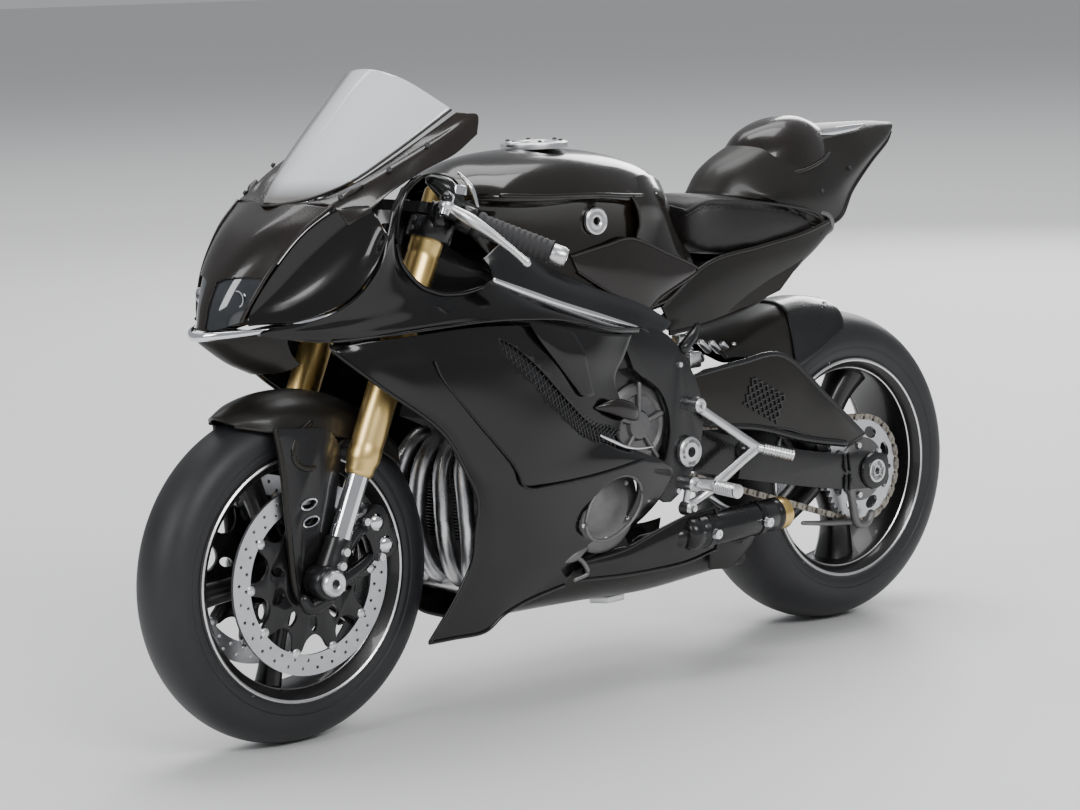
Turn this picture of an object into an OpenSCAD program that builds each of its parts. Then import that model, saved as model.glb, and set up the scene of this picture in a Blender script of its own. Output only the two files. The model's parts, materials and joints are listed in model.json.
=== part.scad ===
// Radio-controlled sport motorcycle, about one fifth of full size.
// +X forward, +Y to the rider's left, +Z up; the tyres stand on z = 0.

/* [Wheels] */
// Front axle, distance ahead of the middle
front_axle_x = 140; // [138:0.5:142]
// Rear axle, distance from the middle
rear_axle_x = -136; // [-138:0.5:-134]
// Outer radius of the front tyre
front_tyre_r = 59.5; // [58.5:0.25:59.75]
// Outer radius of the rear tyre
rear_tyre_r = 63; // [62:0.25:63.5]
// Half width of the front tyre
front_tyre_half = 12; // [11.8:0.1:12.2]
// Half width of the rear tyre
rear_tyre_half = 18; // [17:0.25:18.5]
// Radius of the front brake discs
disc_r = 33.7; // [32:0.1:34]

/* [Fork and steering] */
// Rake, the lean of the steering axis
rake = 24; // [23.5:0.1:24.5]
// Half the distance between the fork legs
fork_half = 22; // [21.8:0.1:22.2]
// Outer radius of the upper fork tubes
fork_tube_r = 6; // [5.6:0.1:6.2]
// Radius of the sliding fork legs
slider_r = 3.9; // [3.6:0.1:3.9]
// Steering axis behind the fork axis
clamp_offset = 6; // [5.5:0.1:6.5]

/* [Swingarm and drive] */
// Swingarm pivot, distance from the middle
pivot_x = -28; // [-29:0.5:-27]
// Height of the swingarm pivot
pivot_z = 84.6; // [84:0.2:85.2]
// Teeth on the rear sprocket
rear_teeth = 45; // [45:1:45]
// Teeth on the drive sprocket
drive_teeth = 16; // [16:1:16]
// Pitch of the drive chain
chain_pitch = 2.96; // [2.94:0.01:2.98]
// Module of the reduction gears
gear_module = 0.6; // [0.6:0.1:0.6]
// Teeth on the motor pinion
pinion_teeth = 13; // [13:1:13]
// Teeth on the spur gear
spur_teeth = 39; // [39:1:39]

/* [Bores] */
// Bore radius of the hollow wheel axles
axle_bore_r = 1.6; // [1.2:0.1:1.8]
// Bore radius of the hollow pivot bolt
pivot_bore_r = 2; // [1.5:0.1:2.2]

/* [Body panels] */
// Wall of the moulded panels
panel_wall = 1.2; // [1:0.1:1.4]
// Wall of the windscreen
screen_wall = 0.9; // [0.8:0.1:1]

/* [Hidden] */
$fn = 64;
part_fn = 32;
fine = 2;
front_axle_z = front_tyre_r;
rear_axle_z = rear_tyre_r;
fork_base = [front_axle_x - 1.5, 0, front_axle_z];
steer_base = fork_base + clamp_offset * [-cos(rake), 0, -sin(rake)];
run_gap = 0.08;
axle_r = 3;
hub_r = 8;
gear_distance = gear_module * (pinion_teeth + spur_teeth) / 2;
gear_angle = 20;
pinion_x = pivot_x + gear_distance * cos(gear_angle);
pinion_z = pivot_z + gear_distance * sin(gear_angle);
rear_sprocket_r = chain_pitch / 2 / sin(180 / rear_teeth);
drive_sprocket_r = chain_pitch / 2 / sin(180 / drive_teeth);
// The pinion turns so that one of its gaps meets the tooth of the spur gear on the centre line
pinion_turn = 180 - gear_angle + 180 / pinion_teeth - (gear_angle * spur_teeth) / pinion_teeth;
chain_y = 22;
link_length = 34;
horn_length = 9;
shock_top = [-18, 0, 127];
shock_low = [-58, 0, 103];
shock_vec = shock_low - shock_top;
shock_len = norm(shock_vec);
shock_lean = atan2(-shock_vec[0], -shock_vec[2]);

// ---------- helpers ----------

// Children built round Z turn to lie round a crosswise axle
module on_axle(x, z) {
    translate([x, 0, z]) rotate([-90, 0, 0]) children();
}

// Children built along +Z turn to lie along the fork or steering line
module on_rake(base, y = 0) {
    translate([base[0], y, base[2]]) rotate([0, -rake, 0]) children();
}

module ring(outer, inner, from, to) {
    difference() {
        translate([0, 0, from]) cylinder(r = outer, h = to - from);
        translate([0, 0, from - 1]) cylinder(r = inner, h = to - from + 2);
    }
}

module both_sides() {
    children();
    mirror([0, 1, 0]) children();
}

module rod_between(a, b, r) {
    hull() {
        translate(a) sphere(r = r, $fn = 16);
        translate(b) sphere(r = r, $fn = 16);
    }
}

// A flat plate with a side-view outline, between two distances from the centre plane
module side_plate(outline, inner, outer) {
    translate([0, outer, 0]) rotate([90, 0, 0]) linear_extrude(outer - inner) polygon(outline);
}

function spline(a, b, c, d, t) =
    0.5 * (2 * b + (c - a) * t + (2 * a - 5 * b + 4 * c - d) * t * t
        + (3 * b - a - 3 * c + d) * t * t * t);
function reach(l, i) =
    i < 0 ? 2 * l[0] - l[1] : i >= len(l) ? 2 * l[len(l) - 1] - l[len(l) - 2] : l[i];
function refine(l, k) = [
    for (i = [0 : len(l) - 2]) for (j = [0 : k - 1])
        spline(reach(l, i - 1), l[i], l[i + 1], reach(l, i + 2), j / k),
    l[len(l) - 1]
];
function swap(g) = [for (j = [0 : len(g[0]) - 1]) [for (i = [0 : len(g) - 1]) g[i][j]]];
function smooth(g, k) = swap([for (c = swap([for (r = g) refine(r, k)])) refine(c, k)]);
// A row that starts on the centre plane gains its mirrored half
function whole(r) = concat([for (i = [len(r) - 1 : -1 : 1]) [r[i][0], -r[i][1], r[i][2]]], r);
function wholes(g) = [for (r = g) whole(r)];
function unit(v) = v / max(norm(v), 0.000001);
function grid_normal(g, i, j) = unit(cross(
    g[min(i + 1, len(g) - 1)][j] - g[max(i - 1, 0)][j],
    g[i][min(j + 1, len(g[0]) - 1)] - g[i][max(j - 1, 0)]));
function turned(faces, flip) = flip ? [for (f = faces) [f[2], f[1], f[0]]] : faces;

// A thin wall that follows a grid of points; side says which way the wall grows
module panel(grid, wall = panel_wall, side = 1, k = fine) {
    s = smooth(grid, k);
    n = len(s);
    m = len(s[0]);
    outer = [for (i = [0 : n - 1]) for (j = [0 : m - 1]) s[i][j]];
    inner = [for (i = [0 : n - 1]) for (j = [0 : m - 1]) s[i][j] - side * wall * grid_normal(s, i, j)];
    o = n * m;
    skins = [for (i = [0 : n - 2]) for (j = [0 : m - 2])
        let (a = i * m + j, b = a + m, c = b + 1, d = a + 1)
            each [[a, d, c], [a, c, b], [o + a, o + b, o + c], [o + a, o + c, o + d]]];
    ends = [for (j = [0 : m - 2]) let (a = j, b = j + 1, c = (n - 1) * m + j, d = c + 1)
        each [[b, a, o + a], [b, o + a, o + b], [c, d, o + d], [c, o + d, o + c]]];
    rims = [for (i = [0 : n - 2]) let (a = i * m, b = a + m, c = a + m - 1, d = c + m)
        each [[a, b, o + b], [a, o + b, o + a], [d, c, o + c], [d, o + c, o + d]]];
    polyhedron(concat(outer, inner), turned(concat(skins, ends, rims), side < 0));
}

// ---------- profiles ----------

function involute(a) = tan(a) * 180 / PI - a;
function tooth_half(r, pitch_r, teeth, slack) =
    let (base_r = pitch_r * cos(20))
        90 / teeth - slack + involute(20) - involute(acos(min(1, base_r / max(r, base_r))));
function gear_points(teeth, turn) =
    let (p = gear_module * teeth / 2,
         tip = p + gear_module * 0.95,
         root = p - gear_module * 1.25,
         rs = [root, p - gear_module * 0.45, p, p + gear_module * 0.5, tip],
         slack = 0.06 * 180 / PI / p)
    [for (i = [0 : teeth - 1]) for (q = [0 : 2 * len(rs) - 1])
        let (up = q < len(rs),
             r = rs[up ? q : 2 * len(rs) - 1 - q],
             h = tooth_half(r, p, teeth, slack),
             a = turn + i * 360 / teeth + (up ? -h : h))
            r * [cos(a), sin(a)]];
function sprocket_points(teeth, root, tip) = [
    for (i = [0 : teeth - 1]) for (q = [[-0.32, root], [-0.1, tip], [0.1, tip], [0.32, root]])
        let (a = (i + q[0]) * 360 / teeth) q[1] * [cos(a), sin(a)]
];
// Tyre cross-section: a crown over a widest line, closed by two beads
function tyre_section(r, half, waist, bead_r, bead_half, wall) = concat(
    [for (a = [-90 : 10 : 90]) [waist + (r - waist) * cos(a), half * sin(a)]],
    [[bead_r, bead_half], [bead_r, bead_half - wall]],
    [for (a = [90 : -10 : -90]) [waist + (r - waist - wall) * cos(a), (half - wall) * sin(a)]],
    [[bead_r, wall - bead_half], [bead_r, -bead_half]]
);

// ---------- body panel grids ----------
// Rows run along the panel; each row starts at the centre plane or at the upper edge

nose_grid = [
    [[171.3, 0, 148.3], [169, 7, 149], [163, 12.4, 151]],
    [[168.8, 0, 158], [166.6, 8, 158], [161, 15, 157]],
    [[163, 0, 169], [161, 10, 169.5], [155, 19, 168]],
    [[153.2, 0, 179.8], [151, 12, 180.8], [144.5, 23, 180.5]],
    [[140.2, 0, 188.4], [136.5, 14, 189.8], [133.5, 26.6, 188.8]]
];
wing_grid = [
    [[140.2, 1, 188.4], [137, 14, 189.7], [133.5, 26.6, 188.8], [129, 30, 182]],
    [[132.7, 14, 190], [129, 22, 191.5], [125.5, 28.5, 193], [122, 33.5, 187]],
    [[121.4, 22, 195], [119, 27, 196.8], [116.5, 31, 197.5], [114, 35.5, 193]],
    [[106.5, 26, 203], [104, 30, 203.8], [101.5, 33.5, 204.2], [100, 36, 199]],
    [[90.6, 29, 211.8], [88, 32, 211.2], [86, 34.5, 210.8], [86, 36, 203.5]],
    [[80, 31, 218], [77, 33, 217.5], [73, 34.5, 216.5], [74.5, 35.5, 210]]
];
recess_grid = [
    [[162, 14.4, 151.8], [162.2, 14.8, 151.4], [162.4, 15.2, 151], [162.6, 15.5, 150.6]],
    [[160, 16, 157], [158.5, 16.5, 155], [158, 18, 152.8], [157.4, 20.4, 151]],
    [[154, 20, 167.5], [150.5, 20, 163], [148.8, 22.5, 156.5], [148.5, 26.5, 151.2]],
    [[143.5, 24, 179.8], [138.5, 24.5, 173.5], [135.5, 28.5, 164], [135, 34.5, 157]],
    [[132, 28.2, 187.5], [127.5, 29.5, 182], [125.5, 33, 173], [126, 38.5, 167]],
    [[122.5, 33, 188.5], [120.5, 34, 185.5], [120, 37, 181], [121, 40.4, 178.4]]
];
side_grid = [
    [[101, 35, 197], [104, 36, 196.5], [107, 37, 195.5], [111, 38, 194]],
    [[109, 36, 191.5], [112, 38, 190], [114.5, 39.5, 188.5], [117.5, 40.5, 187]],
    [[113.5, 36.5, 181], [116, 38.8, 179.5], [118.4, 40, 178], [120.2, 40.8, 176.8]],
    [[113, 37, 169], [117, 39, 168], [121.5, 39.8, 166.8], [125.4, 39.4, 165.5]],
    [[106, 37.6, 160.5], [116, 39.6, 158.5], [125.5, 38.4, 156.8], [134.4, 35, 155.6]],
    [[100, 38, 157.4], [116, 39.5, 154], [132, 35.5, 151.5], [148, 27.5, 149.6]],
    [[96, 38.2, 156.2], [116, 39.5, 150.5], [139, 32.5, 147.5], [159.5, 18, 146.8]],
    [[93, 38.4, 155.8], [108, 40, 149], [124, 37.8, 145.5], [139.2, 31, 143]],
    [[86, 38.4, 155.6], [96, 40.6, 150.5], [105, 41, 146.5], [114.9, 38.8, 144]],
    [[77, 37.6, 156.6], [79, 40.6, 152.5], [80.6, 42.4, 148.6], [81.9, 42.8, 145]],
    [[69.6, 36, 158.2], [66, 39.6, 152.5], [63, 42, 147.8], [60, 42.8, 143.8]],
    [[53, 35, 152.2], [50, 38.6, 148.5], [47, 41.4, 145], [44.1, 42.6, 142]],
    [[36.5, 34.6, 146.2], [33, 37.8, 143.2], [29.5, 40.4, 140.4], [26, 41.6, 138]],
    [[16, 33.6, 139.6], [15, 35.8, 138], [14, 38.2, 136.6], [12.7, 40, 135.4]],
    [[-2, 33, 134], [-1.8, 33.8, 134], [-1.6, 34.8, 134], [-1.3, 35.6, 134]]
];
fairing_grid = [
    [[138, 29, 141.6], [114.9, 37, 142.4], [81.9, 40.8, 143.2], [44.1, 41, 140], [22, 39.6, 135.2],
        [2, 35, 132.2]],
    [[136.6, 31.4, 138.3], [114, 37.6, 134], [81, 42, 133], [48, 42.6, 130], [28, 41, 127],
        [8, 36.8, 125]],
    [[120.8, 36, 125.2], [106, 39.5, 122], [78, 43, 119], [50, 43, 118], [30, 41, 117.5],
        [14, 38, 117.1]],
    [[98.5, 38, 108.8], [90, 41, 107], [70, 43.5, 105], [48, 43.5, 105], [28, 41, 105],
        [10, 38, 104]],
    [[87.7, 38, 93.3], [82, 41, 92.5], [64, 43.5, 92.5], [44, 43, 93], [28, 41.5, 94.5],
        [13, 39.5, 94]],
    [[81.3, 37, 81.6], [76, 40, 82.5], [58, 42.5, 83.5], [32, 42, 83.8], [6, 40, 85],
        [-12, 36.4, 83]],
    [[80.5, 34.5, 70], [74, 37, 70], [54, 39, 70], [28, 38, 70], [2, 36.6, 72],
        [-16.7, 34.6, 75.4]],
    [[81.2, 33, 59.5], [74, 34.5, 58], [53, 35, 56.5], [30, 34.4, 57], [12, 33.8, 59.5],
        [-2.5, 33, 62.5]],
    [[87.6, 30, 45.7], [78, 30.5, 44.5], [64, 30.5, 44], [50, 30.2, 45], [38, 30.2, 47],
        [25, 30.6, 50]],
    [[96.6, 26, 31.1], [85, 26, 30.9], [71, 26.2, 30.9], [62, 27, 36], [50, 27.6, 39.6],
        [34, 28.6, 42.5]]
];
belly_grid = [
    [[68, 0, 32], [68, 13, 32.6], [66, 22, 35.5], [64, 25, 42]],
    [[38, 0, 31.6], [38, 14, 32.2], [38, 23.5, 36.8], [38, 26.8, 44]],
    [[10, 0, 30.8], [10, 15, 31.6], [10, 25.5, 39], [10, 30, 52]],
    [[-20, 0, 29.8], [-20, 15, 30.4], [-20, 26, 39.4], [-20, 30, 47.2]],
    [[-46, 0, 31.4], [-46, 15, 31.8], [-48, 25, 38.4], [-48, 28.6, 46]],
    [[-58, 0, 34], [-62, 15, 33.4], [-66, 24, 35.6], [-60, 28, 44.5]]
];
screen_grid = [
    [[140.4, 0, 189.8], [139.6, 3, 189.6], [137.8, 6, 189.8]],
    [[131.5, 0, 198.4], [131.2, 8, 196.4], [131, 13.5, 191.6]],
    [[121.5, 0, 208.4], [121.2, 12, 205], [120, 21, 196.6]],
    [[112, 0, 217.8], [110.8, 14.5, 213.8], [106, 25, 204.6]],
    [[103, 0, 226.6], [100.8, 16.5, 222], [91.4, 28, 213.4]],
    [[95.2, 0, 233.6], [92.4, 17.5, 230], [81.5, 29.8, 219.4]]
];
tank_grid = [
    [[64, 0, 194.8], [64.4, 11, 192.8], [66.5, 16.4, 188], [66.5, 17, 184], [66, 16.6, 180], [65, 16, 175]],
    [[53, 0, 199.2], [54, 18, 195], [57, 27, 187], [56, 24, 181.6], [55, 24, 171], [54, 24.4, 160]],
    [[38, 0, 201.2], [38, 21, 196.6], [39, 30, 185.6], [38, 25.4, 180.6], [38, 25, 168], [38, 26, 153]],
    [[16, 0, 201.4], [16, 22, 196.4], [16, 30.6, 184.6], [16, 26, 180.6], [16, 25.6, 164], [16, 26.6, 146]],
    [[-6, 0, 199], [-6, 20, 194], [-6, 28, 182.6], [-6, 25, 177], [-6, 25, 160], [-6, 26, 141]],
    [[-24, 0, 195], [-24, 15, 190.5], [-24, 22.6, 181.5], [-25, 21.5, 169], [-25, 23.6, 154],
        [-24, 24.2, 141]],
    [[-35, 0, 190.6], [-35, 10, 187.2], [-36, 15, 178.6], [-37, 18, 166.5], [-37, 22, 155], [-35, 23.4, 146]],
    [[-42, 0, 184.4], [-41.6, 7, 180.4], [-43, 10, 171.5], [-45, 14, 163], [-46, 18.6, 156.6],
        [-44.6, 21.6, 152]]
];
tail_grid = [
    [[-78, 0, 189], [-80, 10, 187], [-85.6, 17, 180], [-92, 21, 174.8], [-113, 19.6, 169.6]],
    [[-95, 0, 197], [-97, 11, 194.4], [-102, 18, 185], [-108, 22, 175.6], [-122, 19, 166.6]],
    [[-112, 0, 201.6], [-114, 11, 198], [-118, 17, 188], [-123, 20, 177], [-133, 17, 166.6]],
    [[-132, 0, 202], [-134, 10, 198.4], [-137, 14, 190], [-140.4, 15.5, 182], [-144, 13, 174.6]],
    [[-152, 0, 201.8], [-153, 8, 198.8], [-155, 11, 193], [-157, 11.6, 188.6], [-159, 9.6, 184.8]],
    [[-170, 0, 201.2], [-171, 4.4, 199.6], [-172, 6, 196.8], [-173, 6.2, 194.2], [-174, 5, 192]],
    [[-182.6, 0, 200], [-182.2, 1.6, 199.2], [-181.6, 2.2, 198.2], [-181, 2.4, 197.2],
        [-180.4, 2, 196.2]]
];
hugger_grid = [
    [[-134, 0, 131], [-133.6, 8, 130], [-132.6, 15, 126.5], [-131, 18.6, 121]],
    [[-122, 0, 132.6], [-121, 9, 131.5], [-119, 16.5, 126], [-116, 19.4, 113]],
    [[-106, 0, 132], [-104, 10, 130.5], [-101, 17, 124], [-102, 19.4, 107]],
    [[-90, 0, 128.8], [-88, 10, 127.5], [-86, 17, 121.5], [-88, 19.4, 112]],
    [[-74, 0, 124], [-73, 10, 123], [-71, 17, 119.5], [-72, 19.4, 115]],
    [[-65, 0, 120.6], [-64.4, 10, 120], [-63.4, 16, 118], [-64, 19, 115.6]]
];
fender_grid = [
    [[168, 0, 118.4], [167.2, 3, 117.6], [165.6, 6, 116.4], [163.6, 8, 115]],
    [[158, 0, 122.4], [157.4, 7, 120.8], [155.4, 12, 117.4], [153.4, 14.4, 112.8]],
    [[146, 0, 124.6], [145.6, 8, 122.8], [144.4, 13.6, 118.4], [142.4, 15.4, 111]],
    [[132, 0, 124.2], [131.8, 8, 122.4], [131, 13.8, 117.8], [130, 15.6, 109]],
    [[118, 0, 120.6], [118.2, 8, 118.8], [118.2, 13.8, 114.2], [118.4, 15.6, 106]],
    [[105, 0, 113.8], [105.6, 8, 112.2], [106.4, 13.6, 108], [107.6, 15.4, 101]],
    [[94, 0, 104], [95, 7, 102.8], [96.4, 12, 99.6], [98.2, 14.6, 95]]
];

// ---------- chassis ----------

frame_plate = [
    [5, 133], [-9, 134], [-24.4, 125.2], [-35.5, 107], [-36.5, 91.5], [-30.6, 76.9],
    [-18, 67], [-10, 72], [-17, 84], [-19, 98], [-14, 110], [-1, 119]
];

module main_frame() {
    color("#26262a") difference() {
        union() {
            on_rake(steer_base) translate([0, 0, 103.5]) cylinder(r = 8, h = 26);
            both_sides() {
                hull() {
                    translate([70, 5, 156]) cube([12, 5, 14]);
                    translate([56, 22, 145]) cube([6, 5, 11]);
                }
                hull() {
                    translate([56, 22, 145]) cube([6, 5, 11]);
                    translate([-4, 26.4, 119.5]) cube([8, 4, 13]);
                }
                side_plate(frame_plate, 27, 31);
                on_axle(shock_top[0], shock_top[2]) translate([0, 0, 3.4]) cylinder(r = 3, h = 25);
            }
            on_axle(shock_top[0], shock_top[2]) translate([0, 0, -5]) cylinder(r = 1.5, h = 10);
            on_axle(pivot_x, pivot_z) ring(6.2, 4, -31, -27);
            on_axle(pivot_x, pivot_z) ring(6.2, 4, 27, 31);
        }
        on_rake(steer_base) translate([0, 0, 90]) cylinder(r = 3.5 + run_gap, h = 50);
        on_axle(pivot_x, pivot_z) translate([0, 0, -40]) cylinder(r = 3.6, h = 80);
    }
}

seat_rail = [
    [-24, 134.2], [-37, 141], [-54, 150], [-110, 156.6], [-116, 160.4], [-91, 139.5], [-73, 135],
    [-30, 129.8]
];

module subframe() {
    color("#1c1c1e") {
        both_sides() side_plate(seat_rail, 20.6, 22.4);
        for (p = [[-68, 142], [-96, 149]])
            translate([p[0], -20.6, p[1]]) cube([5, 41.2, 3]);
    }
}

module crankcase() {
    color("#3a3a3d") difference() {
        union() {
            side_plate([[56.5, 104], [0, 104], [0, 62], [57, 50]], -21, 21);
            side_plate([[54, 52], [-4, 62], [-12, 44], [42, 40]], -18, 18);
        }
        translate([4, -17, 66]) cube([49, 34, 34]);
    }
}

module crank_covers() {
    color("#202022") both_sides() on_axle(18, 71) {
        translate([0, 0, 21]) cylinder(r = 15, h = 8);
        translate([0, 0, 29]) cylinder(r1 = 15, r2 = 11, h = 4);
    }
}

module drive_motor() {
    color("#8a8c90") on_axle(pinion_x, pinion_z) {
        ring(9.5, 1 + run_gap, -18, 12);
    }
}

module battery_pack() {
    color("#2d4f8c") translate([9, -15.5, 68]) cube([38, 31, 28]);
}

module speed_controller() {
    color("#1f2022") {
        translate([2, -12, 122]) cube([34, 24, 9]);
        for (i = [0 : 5]) translate([4 + i * 5.4, -11, 131]) cube([2, 22, 5]);
    }
}

module receiver() {
    color("#303236") translate([-26, -9, 158]) cube([28, 18, 12]);
}

servo_at = [steer_base[0] - 34 * cos(rake), 0, steer_base[2] - 34 * sin(rake)];

module steering_servo() {
    color("#18181a") on_rake(servo_at) {
        translate([-16, -7, 68]) cube([22, 14, 20]);
        translate([-20, -7, 83]) cube([30, 14, 2]);
        translate([0, 0, 88]) cylinder(r = 5, h = 1.4);
    }
}

module radiator() {
    color("#3b3d40") {
        translate([62, -24, 60]) cube([4, 48, 28]);
        for (i = [0 : 6]) translate([66, -23, 62 + i * 4]) cube([1.6, 46, 1]);
    }
}

// Exhaust pipes: down in front of the radiator and back into a cross collector
pipe_x = 71.2;
pipe_r = 2.6;
pipe_top = 85.5;
// Straight pipes lap over the slimmer elbows by this much
pipe_lap = 0.3;
pipe_low = 58;

// A quarter turn of pipe in a fore-and-aft plane
module pipe_elbow(centre, bend, turn) {
    translate([centre[0], 0, centre[1]]) rotate([90, 0, 0]) rotate([0, 0, turn])
        rotate_extrude(angle = 90) translate([bend, 0]) circle(r = pipe_r - 0.15, $fn = part_fn);
}

module exhaust_headers() {
    color("#c9cbd0") {
        for (y = [-14.4, -4.8, 4.8, 14.4]) translate([0, y, 0]) {
            pipe_elbow([pipe_x - 10, pipe_top], 10, 0);
            translate([pipe_x, 0, pipe_low - pipe_lap])
                cylinder(r = pipe_r, h = pipe_top - pipe_low + 2 * pipe_lap, $fn = part_fn);
            pipe_elbow([pipe_x - 8, pipe_low], 8, -90);
            translate([57.2, 0, pipe_top + 10]) rotate([0, 90, 0])
                cylinder(r = pipe_r, h = 4 + pipe_lap, $fn = part_fn);
        }
        translate([61.6, -18, 45.4]) rotate([-90, 0, 0]) cylinder(r = 4.4, h = 36);
    }
}

can_a = [-22, 35.6, 54];
can_b = [-74, 37.6, 55.6];
can_dir = can_b - can_a;

module along_can(from) {
    translate(can_a + from * unit(can_dir))
        rotate([0, acos(can_dir[2] / norm(can_dir)), atan2(can_dir[1], can_dir[0])]) children();
}

module exhaust_canister() {
    color("#17171a") {
        along_can(0) cylinder(r = 6.4, h = norm(can_dir) - 4);
        rod_between([-26, 24, 53], [-21, 33, 54], 4);
    }
}

module exhaust_tip() {
    color("#b39a5a") along_can(norm(can_dir) - 4) ring(6, 4.4, 0, 4.6);
}

module upper_cowl() {
    color("#1b1817") {
        panel(wholes(nose_grid), side = -1);
        both_sides() {
            panel(wing_grid, side = -1);
            panel(recess_grid, side = -1);
        }
    }
}

module headlights() {
    color("#111417") both_sides() hull() {
        translate([160, 6, 152.6]) sphere(r = 2.2, $fn = part_fn);
        translate([155, 11, 155]) sphere(r = 2.4, $fn = part_fn);
        translate([154, 7, 160]) sphere(r = 2.2, $fn = part_fn);
    }
}

chin_outline = [[171.6, 0], [164, 9.6], [151, 18], [136, 18], [136, -18], [151, -18], [164, -9.6]];

module nose_chin() {
    color("#151515") difference() {
        hull() {
            translate([0, 0, 144]) linear_extrude(1.6) polygon(chin_outline);
            translate([134, -12, 136]) cube([24, 24, 1]);
        }
        hull() {
            translate([0, 0, 146]) linear_extrude(1) offset(delta = -2) polygon(chin_outline);
            translate([136, -10, 138]) cube([19, 20, 1]);
        }
    }
}

module windscreen() {
    color("#d9dce4", 0.6) panel(wholes(screen_grid), wall = screen_wall, side = -1);
}

module side_panels() {
    color("#131315") both_sides() panel(side_grid, side = -1);
}

module side_fairings() {
    color("#0f0f12") both_sides() panel(fairing_grid);
}

module belly_pan() {
    color("#1e1e1e") panel(wholes(belly_grid));
}

module belly_loop() {
    color("#c9cacd") translate([-10, 0, 26.2]) difference() {
        cylinder(r = 6, h = 2.6, $fn = 6);
        translate([0, 0, -1]) cylinder(r = 3.6, h = 5, $fn = 6);
    }
}

module tank_cover() {
    color("#17150f") panel(wholes(tank_grid), side = -1);
}

module tank_fittings() {
    color("#d6d7da") {
        translate([16, 0, 201.8]) cylinder(r = 12.6, h = 1.8);
        both_sides() translate([11, 26.2, 174.6]) rotate([-88, 0, 0]) ring(5, 1.4, 0, 1.4);
    }
}

module seat() {
    color("#1d1b19") hull() both_sides() {
        translate([-52.6, 17, 172.4]) sphere(r = 5, $fn = part_fn);
        translate([-107, 14, 165.4]) sphere(r = 4, $fn = part_fn);
        translate([-52.6, 20.6, 158.4]) sphere(r = 3.6, $fn = part_fn);
        translate([-106, 18.6, 162.4]) sphere(r = 3, $fn = part_fn);
    }
}

module tail_cowl() {
    color("#1a1715") panel(wholes(tail_grid), side = -1);
}

pad_grid = [for (i = [1 : 3]) [for (j = [0 : 2]) tail_grid[i][j] + [0, j * 0.5, 2.6 - j * 0.3]]];

module tail_pad() {
    color("#1b1918") panel(wholes(pad_grid), side = -1);
}

module tail_light() {
    color("#5a1414") translate([-180, -1.6, 193.6]) cube([5, 3.2, 1.6]);
}

module rearsets() {
    color("#cfd0d2") both_sides() {
        rod_between([-31.6, 33, 102], [-60.9, 37, 82.4], 1.9);
        rod_between([-60.9, 37, 82.4], [-38, 36, 70.5], 2.2);
        rod_between([-38, 36, 70.5], [-28, 34, 72], 2.8);
        rod_between([-60.9, 37, 82.4], [-72, 45.4, 78.6], 1.9);
        rod_between([-38, 36, 70.5], [-37, 50, 69.8], 2.5);
    }
}

module pivot_bolt() {
    color("#c4c5c8") on_axle(pivot_x, pivot_z) {
        ring(3.5, pivot_bore_r, -32.4, 32.4);
        ring(5, pivot_bore_r, -34.6, -32.4);
        ring(5, pivot_bore_r, 32.4, 34.6);
    }
}

// ---------- drive ----------

module drive_sprocket() {
    color("#9fa1a5") on_axle(pivot_x, pivot_z) difference() {
        union() {
            translate([0, 0, chain_y - 0.8]) linear_extrude(1.6)
                polygon(sprocket_points(drive_teeth, drive_sprocket_r - 1.2, drive_sprocket_r + 0.2));
            translate([0, 0, 14.6]) cylinder(r = 5.4, h = chain_y - 15.4);
            translate([0, 0, 14.6]) linear_extrude(3) polygon(gear_points(spur_teeth, 0));
        }
        cylinder(r = 3.6, h = 40);
    }
}

module motor_pinion() {
    color("#b9a15c") on_axle(pinion_x, pinion_z) {
        translate([0, 0, 14.2]) linear_extrude(3.8) polygon(gear_points(pinion_teeth, pinion_turn));
        translate([0, 0, -14]) cylinder(r = 1, h = 34);
    }
}

// Height along the steering line of the steering link
link_s = 92.6;

module servo_horn() {
    color("#e0e0dc") on_rake(servo_at) {
        translate([0, 0, link_s - 3]) cylinder(r = 3.4, h = 2.4);
        translate([-1.6, -horn_length, link_s - 3]) cube([3.2, horn_length, 2.4]);
        translate([0, -horn_length, link_s - 3]) cylinder(r = 2.2, h = 2.4);
        translate([0, -horn_length, link_s - 1]) cylinder(r = 1, h = 3);
    }
}

module link_rod() {
    color("#b8babd") on_rake(servo_at) difference() {
        union() {
            translate([0, -horn_length - 1, link_s]) cube([link_length, 2, 1.8]);
            for (x = [0, link_length]) translate([x, -horn_length, link_s]) cylinder(r = 2.2, h = 1.8);
        }
        for (x = [0, link_length])
            translate([x, -horn_length, link_s - 1]) cylinder(r = 1 + run_gap, h = 4);
    }
}

// ---------- steering ----------

module clamp_plate(s, thick) {
    on_rake(steer_base) difference() {
        translate([0, 0, s]) linear_extrude(thick) difference() {
            hull() {
                circle(r = 7);
                for (y = [-fork_half, fork_half]) translate([clamp_offset, y]) circle(r = fork_tube_r + 2.4);
            }
            for (y = [-fork_half, fork_half]) translate([clamp_offset, y]) circle(r = fork_tube_r + 0.02);
        }
        translate([0, 0, s - 1]) cylinder(r = 3.52, h = thick + 2);
    }
}

module upper_clamp() {
    color("#3a3b3f") clamp_plate(132.4, 4);
}

module lower_clamp() {
    color("#35363a") {
        clamp_plate(95, 6);
        on_rake(steer_base) translate([0, 0, 93]) cylinder(r = 3.5, h = 45);
        on_rake(steer_base) translate([0, -horn_length, link_s - 0.6]) cylinder(r = 1, h = 3.4);
    }
}

module fork_tubes() {
    color("#c59a2c") both_sides() on_rake(fork_base, fork_half) difference() {
        union() {
            translate([0, 0, 42]) cylinder(r = fork_tube_r, h = 101);
            translate([0, 0, 38]) cylinder(r1 = 4.8, r2 = fork_tube_r, h = 4);
        }
        translate([0, 0, 30]) cylinder(r = slider_r + run_gap, h = 85);
    }
}

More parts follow.
